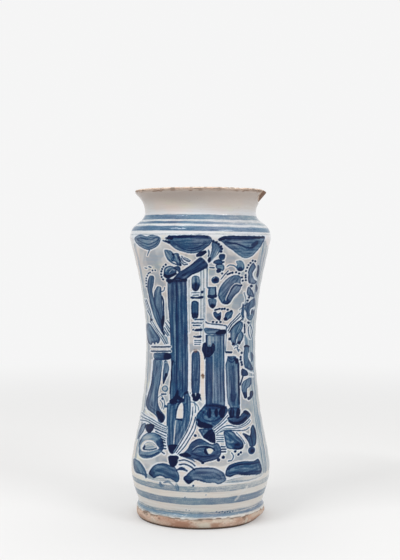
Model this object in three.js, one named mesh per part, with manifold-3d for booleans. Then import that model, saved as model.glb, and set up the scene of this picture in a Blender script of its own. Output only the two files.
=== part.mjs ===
// Albarello: a waisted apothecary jar of tin-glazed earthenware, thrown in one piece on the wheel.
// The thrown clay carries two glaze coats, one outside and one inside, which stop short of the bare
// foot and the worn lip. Millimetres, +Z up, origin at the middle of the face it stands on.
// The decorated front faces -Y, with +X to its right.

import * as THREE from "three";
import { mergeVertices } from "three/addons/utils/BufferGeometryUtils.js";
import Module from "manifold-3d";

// Height over all, levels measured up from the standing face, and levels measured down from the rim
const JAR_HEIGHT = 280.0;
const FOOT_HEIGHT = 12.0;
const BELLY_HEIGHT = 42.0;
const WAIST_HEIGHT = 150.0;
const SHOULDER_BELOW_RIM = 41.0;
const NECK_BELOW_RIM = 18.0;
const LIP_HEIGHT = 1.5;

// Outside radii at those levels, over the glaze where there is glaze
const BASE_RADIUS = 54.0;
const FOOT_RING_RADIUS = 55.4;
const GROOVE_RADIUS = 53.0;
const BELLY_RADIUS = 60.0;
const WAIST_RADIUS = 47.2;
const SHOULDER_RADIUS = 60.7;
const NECK_RADIUS = 47.8;
const LIP_RADIUS = 56.8;

// How slowly the wall bends away from each level, as a share of the height of that stretch of wall:
// a large share makes a full, slow curve and a small one makes a tight turn
const GROOVE_FULLNESS = 0.05;
const BELLY_FULLNESS_BELOW = 0.37;
const BELLY_FULLNESS_ABOVE = 0.17;
const WAIST_FULLNESS_BELOW = 0.54;
const WAIST_FULLNESS_ABOVE = 0.47;
const SHOULDER_FULLNESS_BELOW = 0.03;
const SHOULDER_FULLNESS_ABOVE = 0.64;
const NECK_FULLNESS_BELOW = 0.52;
const NECK_FULLNESS_ABOVE = 0.6;
const LIP_FULLNESS = 0.085;

// Thicknesses of the thrown clay and of the glaze on it
const WALL_THICKNESS = 6.0;
const NECK_THICKNESS = 5.2;
const LIP_THICKNESS = 3.6;
const FLOOR_THICKNESS = 8.0;
const INNER_CORNER_RADIUS = 9.0;
const INNER_SHOULDER_DROP = 3.0;
const GLAZE_THICKNESS = 0.6;

// Clearance that keeps each coat just off the clay it lies on
const COAT_GAP = 0.3;

// Turned foot: a ring to stand on around a shallow hollow
const FOOT_RING_WIDTH = 9.0;
const FOOT_HOLLOW_DEPTH = 3.0;
const FOOT_HOLLOW_SLOPE = 3.0;
const FOOT_EDGE_RADIUS = 1.4;
const FOOT_RING_TOP_SLOPE = 3.0;

// Bare lip: how far the glaze has worn back on each side of the rim
const LIP_ROUNDING = 0.8;
const OUTER_LIP_BARE = 2.4;
const INNER_LIP_BARE = 1.6;

// Old flake on the right of the lip, where glaze and clay broke away below the rim
const CHIP_TURN_DEG = 91.0;
const CHIP_WIDTH = 60.0;
const CHIP_LENGTH = 19.0;
const CHIP_BULK = 9.0;
const CHIP_BITE = 1.5;
const CHIP_BELOW_RIM = 3.8;
const CHIP_TILT_DEG = 36.0;

// Fineness of the facets
const TURN_SEGMENTS = 32;
const FOOT_STEPS = 5;
const BODY_STEPS = 8;
const SHOULDER_STEPS = 8;
const FLARE_STEPS = 6;
const INNER_BODY_STEPS = 6;
const INNER_SHOULDER_STEPS = 5;
const ROUNDING_STEPS = 3;

// Other levels above the standing face
const shoulderZ = JAR_HEIGHT - SHOULDER_BELOW_RIM;
const neckZ = JAR_HEIGHT - NECK_BELOW_RIM;
const lipZ = JAR_HEIGHT - LIP_HEIGHT;
const floorZ = FOOT_HOLLOW_DEPTH + FLOOR_THICKNESS;

const clayMaterial = new THREE.MeshStandardMaterial({
  name: "bare_clay",
  color: new THREE.Color(0.62, 0.44, 0.32),
  roughness: 0.9,
  metalness: 0.0,
});
const outerGlazeMaterial = new THREE.MeshStandardMaterial({
  name: "painted_tin_glaze",
  color: new THREE.Color(0.45, 0.53, 0.63),
  roughness: 0.14,
  metalness: 0.0,
});
const innerGlazeMaterial = new THREE.MeshStandardMaterial({
  name: "plain_tin_glaze",
  color: new THREE.Color(0.83, 0.79, 0.72),
  roughness: 0.2,
  metalness: 0.0,
});

// One stretch of wall between two levels, upright at both ends, as points from low to high.
// The first point is left to the stretch below.
function wallStretch(low, lowFullness, high, highFullness, steps) {
  const rise = high.y - low.y;
  const curve = new THREE.CubicBezierCurve(
    low,
    new THREE.Vector2(low.x, low.y + rise * lowFullness),
    new THREE.Vector2(high.x, high.y - rise * highFullness),
    high,
  );
  return curve.getPoints(steps).slice(1);
}

// Outside of the glazed jar, from the groove over the foot up to the lip
function outerWall() {
  const groove = new THREE.Vector2(GROOVE_RADIUS, FOOT_HEIGHT);
  const belly = new THREE.Vector2(BELLY_RADIUS, BELLY_HEIGHT);
  const waist = new THREE.Vector2(WAIST_RADIUS, WAIST_HEIGHT);
  const shoulder = new THREE.Vector2(SHOULDER_RADIUS, shoulderZ);
  const neck = new THREE.Vector2(NECK_RADIUS, neckZ);
  const lip = new THREE.Vector2(LIP_RADIUS, lipZ);
  return [
    groove,
    ...wallStretch(groove, GROOVE_FULLNESS, belly, BELLY_FULLNESS_BELOW, FOOT_STEPS),
    ...wallStretch(belly, BELLY_FULLNESS_ABOVE, waist, WAIST_FULLNESS_BELOW, BODY_STEPS),
    ...wallStretch(waist, WAIST_FULLNESS_ABOVE, shoulder, SHOULDER_FULLNESS_BELOW, BODY_STEPS),
    ...wallStretch(shoulder, SHOULDER_FULLNESS_ABOVE, neck, NECK_FULLNESS_BELOW, SHOULDER_STEPS),
    ...wallStretch(neck, NECK_FULLNESS_ABOVE, lip, LIP_FULLNESS, FLARE_STEPS),
  ];
}

// Inside of the thrown clay, from the middle of the floor up to the lip. The shoulder and the neck
// sit lower than outside, which keeps the sloping wall at full thickness.
function innerWall() {
  const cornerRadius = GROOVE_RADIUS - WALL_THICKNESS;
  const corner = new THREE.Vector2(cornerRadius, floorZ + INNER_CORNER_RADIUS);
  const belly = new THREE.Vector2(BELLY_RADIUS - WALL_THICKNESS, BELLY_HEIGHT);
  const waist = new THREE.Vector2(WAIST_RADIUS - WALL_THICKNESS, WAIST_HEIGHT);
  const shoulder = new THREE.Vector2(SHOULDER_RADIUS - WALL_THICKNESS, shoulderZ - INNER_SHOULDER_DROP);
  const neck = new THREE.Vector2(NECK_RADIUS - NECK_THICKNESS, neckZ - INNER_SHOULDER_DROP);
  const lip = new THREE.Vector2(LIP_RADIUS - LIP_THICKNESS, JAR_HEIGHT - LIP_ROUNDING);
  return [
    new THREE.Vector2(0, floorZ),
    ...quarterRound(cornerRadius - INNER_CORNER_RADIUS, corner.y, INNER_CORNER_RADIUS, -90),
    ...wallStretch(corner, GROOVE_FULLNESS, belly, BELLY_FULLNESS_BELOW, ROUNDING_STEPS),
    ...wallStretch(belly, BELLY_FULLNESS_ABOVE, waist, WAIST_FULLNESS_BELOW, INNER_BODY_STEPS),
    ...wallStretch(waist, WAIST_FULLNESS_ABOVE, shoulder, SHOULDER_FULLNESS_BELOW, INNER_BODY_STEPS),
    ...wallStretch(shoulder, SHOULDER_FULLNESS_ABOVE, neck, NECK_FULLNESS_BELOW, INNER_SHOULDER_STEPS),
    ...wallStretch(neck, NECK_FULLNESS_ABOVE, lip, LIP_FULLNESS, INNER_SHOULDER_STEPS),
  ];
}

// Quarter circle about a centre, turning anticlockwise from the given angle
function quarterRound(centreRadius, centreZ, radius, fromDeg) {
  const from = THREE.MathUtils.degToRad(fromDeg);
  const arc = new THREE.EllipseCurve(centreRadius, centreZ, radius, radius, from, from + Math.PI / 2);
  return arc.getPoints(ROUNDING_STEPS);
}

// The same line moved sideways, towards the left of its direction of travel: a wall that climbs
// moves towards the axis, and a floor that runs outwards moves up
function movedLeft(line, distance) {
  return line.map((point, index) => {
    const before = line[Math.max(index - 1, 0)];
    const after = line[Math.min(index + 1, line.length - 1)];
    const run = after.clone().sub(before).normalize();
    return new THREE.Vector2(point.x - run.y * distance, point.y + run.x * distance);
  });
}

// The part of a climbing line that lies below a level, ending exactly on it
function below(line, level) {
  const kept = line.filter((point) => point.y < level);
  const last = kept[kept.length - 1];
  const next = line[kept.length];
  const share = (level - last.y) / (next.y - last.y);
  return [...kept, last.clone().lerp(next, share)];
}

// Underside and outside of the turned foot, from the axis to the groove
function footOutline(grooveRadius) {
  const ringInner = BASE_RADIUS - FOOT_RING_WIDTH;
  const edge = new THREE.Vector2(BASE_RADIUS, FOOT_EDGE_RADIUS);
  const widest = new THREE.Vector2(FOOT_RING_RADIUS, FOOT_HEIGHT - FOOT_RING_TOP_SLOPE * 2);
  const groove = new THREE.Vector2(grooveRadius, FOOT_HEIGHT);
  const side = new THREE.QuadraticBezierCurve(edge, new THREE.Vector2(widest.x, edge.y * 2), widest);
  const top = new THREE.QuadraticBezierCurve(
    widest,
    new THREE.Vector2(widest.x, FOOT_HEIGHT - FOOT_RING_TOP_SLOPE),
    groove,
  );
  return [
    new THREE.Vector2(0, FOOT_HOLLOW_DEPTH),
    new THREE.Vector2(ringInner - FOOT_HOLLOW_SLOPE, FOOT_HOLLOW_DEPTH),
    new THREE.Vector2(ringInner, 0),
    ...quarterRound(BASE_RADIUS - FOOT_EDGE_RADIUS, FOOT_EDGE_RADIUS, FOOT_EDGE_RADIUS, -90),
    ...side.getPoints(ROUNDING_STEPS).slice(1),
    ...top.getPoints(ROUNDING_STEPS).slice(1, -1),
  ];
}

// Rounded top of the lip between the outside and the inside of the clay
function lipTop(outerRadius) {
  const innerRadius = LIP_RADIUS - LIP_THICKNESS;
  const centreZ = JAR_HEIGHT - LIP_ROUNDING;
  return [
    ...quarterRound(outerRadius - LIP_ROUNDING, centreZ, LIP_ROUNDING, 0),
    ...quarterRound(innerRadius + LIP_ROUNDING, centreZ, LIP_ROUNDING, 90).slice(0, -1),
  ];
}

// Solid of revolution about the vertical axis from an outline that closes on itself or on the axis
function turned(outline) {
  const geometry = new THREE.LatheGeometry(outline, TURN_SEGMENTS);
  geometry.rotateX(Math.PI / 2);
  return geometry;
}

// The thrown clay, with its turned foot, rounded lip and the surfaces that carry the glaze
function clayShape(outerClay, innerClay) {
  const outside = [...footOutline(outerClay[0].x), ...outerClay];
  const lip = lipTop(outerClay[outerClay.length - 1].x);
  return turned([...outside, ...lip, ...innerClay.slice().reverse()]);
}

// The coat on the outside, from the groove over the foot to just under the rim
function outerGlazeShape(skinLine) {
  const topZ = JAR_HEIGHT - OUTER_LIP_BARE;
  const skin = below(skinLine, topZ);
  const back = below(movedLeft(skinLine, GLAZE_THICKNESS), topZ).reverse();
  return turned([...skin, ...back, skin[0]]);
}

// The lining, from the middle of the floor to just inside the rim
function innerGlazeShape(innerClay) {
  const topZ = JAR_HEIGHT - INNER_LIP_BARE;
  const back = below(movedLeft(innerClay, COAT_GAP), topZ);
  const skin = below(movedLeft(innerClay, COAT_GAP + GLAZE_THICKNESS), topZ).reverse();
  return turned([...back, ...skin]);
}

// A geometry that lies across the x axis, bent so that its width runs round the jar
function bentRound(geometry, radius) {
  const points = geometry.attributes.position;
  for (let i = 0; i < points.count; i += 1) {
    const turn = points.getY(i) / radius;
    const reach = points.getX(i);
    points.setXY(i, reach * Math.cos(turn), reach * Math.sin(turn));
  }
  return geometry;
}

// The bulk that the flake took away: a flat lens laid along the flare and bent round the lip
function chipShape() {
  const geometry = new THREE.SphereGeometry(0.5, 20, 12);
  const tilt = THREE.MathUtils.degToRad(CHIP_TILT_DEG);
  const lipReach = LIP_RADIUS - CHIP_BELOW_RIM * Math.tan(tilt);
  geometry.scale(CHIP_BULK, CHIP_WIDTH, CHIP_LENGTH);
  geometry.translate(CHIP_BULK / 2 - CHIP_BITE, 0, 0);
  geometry.rotateY(tilt);
  geometry.translate(lipReach, 0, JAR_HEIGHT - CHIP_BELOW_RIM);
  bentRound(geometry, LIP_RADIUS);
  return geometry.rotateZ(THREE.MathUtils.degToRad(CHIP_TURN_DEG) - Math.PI / 2);
}

const manifold = await Module();
manifold.setup();

// A closed three.js geometry as a solid that can be cut
function toSolid(geometry) {
  const bare = geometry.clone();
  bare.deleteAttribute("normal");
  bare.deleteAttribute("uv");
  const merged = mergeVertices(bare);
  const corners = merged.index.array;
  const faces = [];
  for (let i = 0; i < corners.length; i += 3) {
    const [a, b, c] = [corners[i], corners[i + 1], corners[i + 2]];
    if (a !== b && b !== c && c !== a) {
      faces.push(a, b, c);
    }
  }
  return new manifold.Manifold(
    new manifold.Mesh({
      numProp: 3,
      vertProperties: new Float32Array(merged.attributes.position.array),
      triVerts: new Uint32Array(faces),
    }),
  );
}

// What is left of a geometry once the cutter's bulk is gone
function chipped(geometry, cutter) {
  const mesh = toSolid(geometry).subtract(toSolid(cutter)).getMesh();
  const result = new THREE.BufferGeometry();
  result.setAttribute("position", new THREE.BufferAttribute(new Float32Array(mesh.vertProperties), 3));
  result.setIndex(new THREE.BufferAttribute(new Uint32Array(mesh.triVerts), 1));
  result.computeVertexNormals();
  return result;
}

function named(name, geometry, material) {
  const mesh = new THREE.Mesh(geometry, material);
  mesh.name = name;
  return mesh;
}

const outerSkin = outerWall();
const outerClay = movedLeft(outerSkin, GLAZE_THICKNESS + COAT_GAP);
const innerClay = innerWall();
const chip = chipShape();

const albarello = new THREE.Group();
albarello.add(
  named("clay_body", chipped(clayShape(outerClay, innerClay), chip), clayMaterial),
  named("outer_glaze", chipped(outerGlazeShape(outerSkin), chip), outerGlazeMaterial),
  named("inner_glaze", innerGlazeShape(innerClay), innerGlazeMaterial),
);

export default albarello;
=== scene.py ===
import math

import bpy
import numpy as np
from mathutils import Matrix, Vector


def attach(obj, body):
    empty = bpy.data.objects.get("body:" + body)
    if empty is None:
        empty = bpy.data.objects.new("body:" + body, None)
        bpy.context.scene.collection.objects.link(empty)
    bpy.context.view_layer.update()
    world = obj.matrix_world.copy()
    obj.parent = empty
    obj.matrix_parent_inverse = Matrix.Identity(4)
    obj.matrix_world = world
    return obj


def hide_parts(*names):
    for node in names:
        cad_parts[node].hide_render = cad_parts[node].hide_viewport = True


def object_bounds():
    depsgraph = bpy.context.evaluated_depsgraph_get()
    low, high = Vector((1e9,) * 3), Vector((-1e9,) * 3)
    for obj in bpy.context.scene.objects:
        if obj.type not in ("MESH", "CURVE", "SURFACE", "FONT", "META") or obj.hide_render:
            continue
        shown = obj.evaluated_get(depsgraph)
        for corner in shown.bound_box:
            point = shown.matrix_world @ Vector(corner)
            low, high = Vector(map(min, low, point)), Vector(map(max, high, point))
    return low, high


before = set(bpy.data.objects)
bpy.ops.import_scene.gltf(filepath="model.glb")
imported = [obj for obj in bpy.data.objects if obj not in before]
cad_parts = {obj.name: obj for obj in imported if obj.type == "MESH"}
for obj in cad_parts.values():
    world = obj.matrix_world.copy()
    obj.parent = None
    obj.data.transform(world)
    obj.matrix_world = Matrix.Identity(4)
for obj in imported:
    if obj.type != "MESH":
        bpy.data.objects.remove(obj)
cad_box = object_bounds()

# Camera: the photographer stands in front of the jar with the lens just under the height of its
# shoulder, so that the foot is seen from above and the flare of the lip from below.
CAMERA_DISTANCE = 0.910
CAMERA_HEIGHT = 0.229
CAMERA_SIDE = -0.0004
CAMERA_LENS_MM = 67.79
CAMERA_PITCH_DEG = 1.638

camera_data = bpy.data.cameras.new("camera")
camera_data.lens = CAMERA_LENS_MM
camera = bpy.data.objects.new("camera", camera_data)
camera.location = (CAMERA_SIDE, -CAMERA_DISTANCE, CAMERA_HEIGHT)
camera.rotation_euler = (math.radians(90 - CAMERA_PITCH_DEG), 0, 0)
bpy.context.collection.objects.link(camera)
bpy.context.scene.camera = camera
bpy.context.scene.view_settings.view_transform = "Standard"


# Studio: a pale matt table that runs on into a pale surround, with no horizon, lit by a pale room
# and three soft boxes. The table takes the jar's shadow and throws light back up at it.
FLOOR_REACH = 9.0
FLOOR_NEAR = 0.30
FLOOR_FAR = 1.30
FLOOR_BOUNCE = (0.60, 0.60, 0.60, 1)
FLOOR_SEEN = (0.56, 0.56, 0.56, 1)
FLOOR_GLOW = 0.25
BACKGROUND_SEEN = (0.915, 0.915, 0.915, 1)
ROOM_LIGHT = (1.0, 0.985, 0.96, 1)
ROOM_STRENGTH = 0.52


def new_material(name):
    """A material with no nodes in it yet."""
    material = bpy.data.materials.new(name)
    material.use_nodes = True
    material.node_tree.nodes.clear()
    return material


def add_node(tree, kind, values=None, **settings):
    """A shader node with its settings and unlinked socket values."""
    node = tree.nodes.new(kind)
    for key, value in settings.items():
        setattr(node, key, value)
    for socket, value in (values or {}).items():
        node.inputs[socket].default_value = value
    return node


def seen_directly(tree):
    """One for rays that show the surface to the camera, in a mirror or through glass."""
    path = add_node(tree, "ShaderNodeLightPath")
    first = add_node(tree, "ShaderNodeMath", operation="ADD")
    both = add_node(tree, "ShaderNodeMath", operation="ADD", use_clamp=True)
    tree.links.new(path.outputs["Is Camera Ray"], first.inputs[0])
    tree.links.new(path.outputs["Is Glossy Ray"], first.inputs[1])
    tree.links.new(first.outputs[0], both.inputs[0])
    tree.links.new(path.outputs["Is Transmission Ray"], both.inputs[1])
    return both.outputs[0]


def floor_material():
    """The table: matt near the jar, and further off just the pale of the surround."""
    material = new_material("pale_table")
    tree = material.node_tree
    link = tree.links.new
    seen = seen_directly(tree)
    place = add_node(tree, "ShaderNodeTexCoord")
    reach = add_node(tree, "ShaderNodeVectorMath", operation="LENGTH")
    away = add_node(tree, "ShaderNodeMapRange", {"From Min": FLOOR_NEAR, "From Max": FLOOR_FAR},
                    interpolation_type="SMOOTHSTEP")
    colour = add_node(tree, "ShaderNodeMix", {"A": FLOOR_BOUNCE, "B": FLOOR_SEEN}, data_type="RGBA")
    matt = add_node(tree, "ShaderNodeBsdfDiffuse")
    glow = add_node(tree, "ShaderNodeEmission", {"Color": (1, 1, 1, 1)})
    lit = add_node(tree, "ShaderNodeMath", {1: FLOOR_GLOW}, operation="MULTIPLY")
    near = add_node(tree, "ShaderNodeAddShader")
    far = add_node(tree, "ShaderNodeEmission", {"Color": BACKGROUND_SEEN})
    mix = add_node(tree, "ShaderNodeMixShader")
    out = add_node(tree, "ShaderNodeOutputMaterial")
    link(place.outputs["Object"], reach.inputs[0])
    link(reach.outputs["Value"], away.inputs["Value"])
    link(seen, colour.inputs["Factor"])
    link(colour.outputs["Result"], matt.inputs["Color"])
    link(seen, lit.inputs[0])
    link(lit.outputs[0], glow.inputs["Strength"])
    link(matt.outputs[0], near.inputs[0])
    link(glow.outputs[0], near.inputs[1])
    link(away.outputs[0], mix.inputs[0])
    link(near.outputs[0], mix.inputs[1])
    link(far.outputs[0], mix.inputs[2])
    link(mix.outputs[0], out.inputs["Surface"])
    return material


floor_mesh = bpy.data.meshes.new("table_top")
floor_mesh.from_pydata(
    [(x * FLOOR_REACH, y * FLOOR_REACH, 0) for x, y in ((-1, -1), (1, -1), (1, 1), (-1, 1))],
    [], [(0, 1, 2, 3)],
)
floor = bpy.data.objects.new("table_top", floor_mesh)
floor_mesh.materials.append(floor_material())
bpy.context.collection.objects.link(floor)

world = bpy.data.worlds.new("pale_room")
bpy.context.scene.world = world
world.use_nodes = True
world.node_tree.nodes.clear()
room = add_node(world.node_tree, "ShaderNodeBackground", {"Color": ROOM_LIGHT, "Strength": ROOM_STRENGTH})
back = add_node(world.node_tree, "ShaderNodeBackground", {"Color": BACKGROUND_SEEN, "Strength": 1.0})
either = add_node(world.node_tree, "ShaderNodeMixShader")
world_out = add_node(world.node_tree, "ShaderNodeOutputWorld")
world.node_tree.links.new(seen_directly(world.node_tree), either.inputs[0])
world.node_tree.links.new(room.outputs[0], either.inputs[1])
world.node_tree.links.new(back.outputs[0], either.inputs[2])
world.node_tree.links.new(either.outputs[0], world_out.inputs["Surface"])


def soft_box(name, place, size, watts):
    """A rectangular lamp that faces the middle of the jar."""
    data = bpy.data.lights.new(name, "AREA")
    data.shape = "RECTANGLE"
    data.size, data.size_y = size
    data.energy = watts
    lamp = bpy.data.objects.new(name, data)
    lamp.location = place
    aim = np.array((0, 0, cad_box[1][2] / 2)) - np.array(place)
    yaw = math.atan2(aim[1], aim[0]) - math.pi / 2
    pitch = math.atan2(aim[2], math.hypot(aim[0], aim[1])) + math.pi / 2
    lamp.rotation_euler = (pitch, 0, yaw)
    bpy.context.collection.objects.link(lamp)


soft_box("key_box", (-0.80, -0.72, 1.45), (0.66, 0.12), 10.0)
soft_box("fill_box", (0.92, -0.88, 1.10), (0.60, 0.13), 6.6)
soft_box("top_box", (0.05, 0.20, 1.60), (1.00, 1.00), 9.0)


# Clay body: a cylinder of buff earthenware thrown on the wheel, drawn in at the waist and the neck,
# its foot turned with a tool and left bare. The lip is worn down to the clay, and on the right a long
# flake has broken off it. From here on all lengths are in millimetres.
MM = 0.001
JAR_HEIGHT = 280.0
# Outside of the glazed wall from the groove over the foot up to the lip: radius, level, and how full
# the curve is below and above that level.
WALL_MARKS = (
    (53.0, 12.0, 0.0, 0.05),
    (60.0, 42.0, 0.37, 0.17),
    (47.2, 150.0, 0.54, 0.47),
    (60.7, 239.0, 0.03, 0.64),
    (47.8, 262.0, 0.52, 0.60),
    (56.8, 278.5, 0.085, 0.0),
)
# The same for the inside of the clay, from the corner over the floor up to the lip.
CAVITY_MARKS = (
    (47.0, 20.0, 0.0, 0.05),
    (54.0, 42.0, 0.37, 0.17),
    (41.2, 150.0, 0.54, 0.47),
    (54.7, 236.0, 0.03, 0.64),
    (42.6, 259.0, 0.52, 0.60),
    (53.2, 279.2, 0.085, 0.0),
)
GLAZE_DEPTH = 0.9
FLOOR_LEVEL = 11.0
FLOOR_CORNER = 9.0
FOOT_HOLLOW = 3.0
FOOT_HOLLOW_RADIUS = 42.0
FOOT_INNER_RADIUS = 45.0
FOOT_EDGE_RADIUS = 54.0
FOOT_EDGE_ROUND = 1.4
FOOT_WIDEST_RADIUS = 55.4
FOOT_WIDEST_LEVEL = 6.0
LIP_ROUND = 0.8
# At the middle of the jar, inside and underneath, the mesh is closed by a point.
AXIS_RADIUS = 0.01
CLAY_COLUMNS = 540

# How far the hand-thrown wall stands off the true round. Beside the flake the lip is drawn out: fully
# up to the first of these angles and above the second of these levels.
LIP_DRAWN_OUT = 1.6
DRAWN_OUT_DEG = (8, 36)
DRAWN_OUT_LEVELS = (260, 274)
WALL_LEAN = 0.20
WALL_OVAL = 0.22
WALL_THREE_SIDED = 0.12
THROWING_RING = 0.10
FINGER_DENT = 0.16

# The flake: a flat lens of clay laid along the flare of the lip. Its face bulges between two levels,
# and the lip over it is blunt.
FLAKE_TURN_DEG = 91.0
FLAKE_WIDTH = 60.0
FLAKE_LENGTH = 19.0
FLAKE_BULK = 9.0
FLAKE_BITE = 1.5
FLAKE_BELOW_RIM = 3.8
FLAKE_TILT_DEG = 36.0
FLAKE_HOLLOW = 0.3
FLAKE_BULGE = 0.9
BULGE_LEVELS = (269, 275, 277.5, 279.8)
LIP_BLUNT = 1.3
LIP_BLUNT_DROP = 0.5
BLUNT_DEG = (12, 30)
BLUNT_LEVELS = (277.8, 280)

# Wear: nicks along the lip, pits in the foot ring, and a chip at its right edge, which comes in and
# goes out between these turns.
NICK_DEPTH = 0.55
NICK_DROP = 0.35
FOOT_PITS = 0.16
FOOT_CHIP_TURNS_DEG = (30, 84, 108, 124)
FOOT_CHIP_DEPTH = 2.8
FOOT_CHIP_LIFT = 0.8


def smooth_noise(across, along, seed, wrap=256):
    """Smooth field from -1 to 1 with one knot a unit; it repeats across after wrap knots."""
    knots = np.random.default_rng(seed).uniform(-1, 1, (256, 256))
    column, row = np.floor(across).astype(int), np.floor(along).astype(int)
    right, up = across - column, along - row
    right, up = right * right * (3 - 2 * right), up * up * (3 - 2 * up)
    near, far = column % wrap, (column + 1) % wrap
    low = knots[row % 256, near] * (1 - right) + knots[row % 256, far] * right
    high = knots[(row + 1) % 256, near] * (1 - right) + knots[(row + 1) % 256, far] * right
    return low * (1 - up) + high * up


def smooth_step(low, high, value):
    """From 0 at low to 1 at high, flat beyond them."""
    share = np.clip((value - low) / (high - low), 0, 1)
    return share * share * (3 - 2 * share)


def between(start, full, fading, gone, value):
    """1 between two values, with a soft rise before them and a soft fall after."""
    return smooth_step(start, full, value) * (1 - smooth_step(fading, gone, value))


def bezier(points, steps):
    """Points along a Bezier curve of two or three bends."""
    share = np.linspace(0, 1, steps + 1)[:, None]
    order = len(points) - 1
    return sum(
        math.comb(order, k) * share ** k * (1 - share) ** (order - k) * np.array(point, float)
        for k, point in enumerate(points)
    )


def wall_line(marks, steps):
    """Radius and level along a wall that stands upright at each of its marks."""
    line = [np.array([marks[0][:2]])]
    for low, high in zip(marks, marks[1:]):
        rise = high[1] - low[1]
        curve = [low[:2], (low[0], low[1] + rise * low[3]), (high[0], high[1] - rise * high[2]), high[:2]]
        line.append(bezier(curve, steps)[1:])
    return np.concatenate(line)


def run_lengths(line):
    """Length run along a line up to each of its points."""
    return np.concatenate([[0], np.cumsum(np.hypot(*np.diff(line, axis=0).T))])


def left_of(line):
    """Direction to the left of a line's run at each point: towards the axis where it climbs."""
    run = np.gradient(line, axis=0)
    run /= np.hypot(*run.T)[:, None]
    return np.stack([-run[:, 1], run[:, 0]], axis=1)


def at_lengths(line, places):
    """Points of a line at given lengths along it."""
    return np.stack([np.interp(places, run_lengths(line), line[:, axis]) for axis in (0, 1)], axis=1)


def respaced(line, spacing):
    """The same line with points about a spacing apart."""
    whole = run_lengths(line)[-1]
    return at_lengths(line, np.linspace(0, whole, max(2, round(whole / spacing) + 1)))


def degrees_from(turn, middle_deg):
    """Degrees round the jar from a middle, from -180 to 180."""
    return (np.degrees(turn) - middle_deg + 180) % 360 - 180


def hand_thrown(turn, level):
    """How far the wall stands off the true round, with the lip drawn out beside the flake."""
    near_flake = 1 - smooth_step(*DRAWN_OUT_DEG, np.abs(degrees_from(turn, FLAKE_TURN_DEG)))
    drawn_out = LIP_DRAWN_OUT * near_flake * smooth_step(*DRAWN_OUT_LEVELS, level)
    lean = WALL_LEAN * np.sin(turn - 0.6) * np.sin(level / JAR_HEIGHT * math.pi)
    oval = WALL_OVAL * np.sin(2 * turn + 0.9) * (level / JAR_HEIGHT)
    oval = oval + WALL_THREE_SIDED * np.sin(3 * turn + level / 45)
    rings = THROWING_RING * np.sin(level / 1.9 + 0.7 * np.sin(turn) + 1.5 * np.sin(level / 31))
    dents = FINGER_DENT * smooth_noise(turn / (2 * math.pi) * 16, level / 22, 11, 16)
    return (lean + oval + rings + dents) * smooth_step(4, 30, level) + drawn_out


def ring_points(turn, radius, level):
    """Points in space for angles from the front of the jar, radii and levels."""
    return np.stack([radius * np.sin(turn), -radius * np.cos(turn), level], axis=2)


def ring_object(name, rings, body, closed):
    """A mesh of quads over rings of points, closed round a tube or by a point at each end."""
    rows, columns, _ = rings.shape
    steps = rows if closed else rows - 1
    low = np.arange(steps)[:, None] * columns
    high = (np.arange(steps)[:, None] + 1) % rows * columns
    here = np.arange(columns)[None, :]
    there = (here + 1) % columns
    quads = np.stack([low + here, low + there, high + there, high + here], axis=2).reshape(-1, 4)
    across = np.arange(columns)[None, :] / columns
    up = np.arange(steps)[:, None] / steps
    wide, tall = 1 / columns, 1 / steps
    unwrapped = np.stack([
        np.stack([across + aside + 0 * up, up + above + 0 * across], axis=2)
        for aside, above in ((0, 0), (wide, 0), (wide, tall), (0, tall))
    ], axis=2).reshape(-1, 2)
    points = rings.reshape(-1, 3)
    corners, starts = quads.reshape(-1), np.arange(len(quads)) * 4
    if not closed:
        poles = np.stack([rings[0].mean(axis=0), rings[-1].mean(axis=0)])
        first, last = here[0], (rows - 1) * columns + here[0]
        fan_low = np.stack([there[0], first, np.full(columns, len(points))], axis=1)
        fan_high = np.stack([last, (rows - 1) * columns + there[0], np.full(columns, len(points) + 1)], axis=1)
        fans = np.concatenate([fan_low, fan_high]).reshape(-1)
        starts = np.concatenate([starts, len(corners) + np.arange(2 * columns) * 3])
        corners = np.concatenate([corners, fans])
        edge = np.stack([across[0], 0 * across[0]], axis=1)
        fan_map = [np.stack([edge + (wide, level), edge + (0, level), edge + (wide / 2, level)], axis=1)
                   for level in (0, 1)]
        unwrapped = np.concatenate([unwrapped, np.concatenate(fan_map).reshape(-1, 2)])
        points = np.concatenate([points, poles])
    mesh = bpy.data.meshes.new(name)
    mesh.vertices.add(len(points))
    mesh.vertices.foreach_set("co", (points * MM).astype(np.float32).reshape(-1))
    mesh.loops.add(len(corners))
    mesh.loops.foreach_set("vertex_index", corners.astype(np.int32))
    mesh.polygons.add(len(starts))
    mesh.polygons.foreach_set("loop_start", starts.astype(np.int32))
    mesh.polygons.foreach_set("use_smooth", np.ones(len(starts), bool))
    mesh.update(calc_edges=True)
    mesh.uv_layers.new(name="OFBake").data.foreach_set("uv", unwrapped.astype(np.float32).reshape(-1))
    mesh.validate()
    made = bpy.data.objects.new(name, mesh)
    bpy.context.collection.objects.link(made)
    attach(made, body)
    return made


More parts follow.
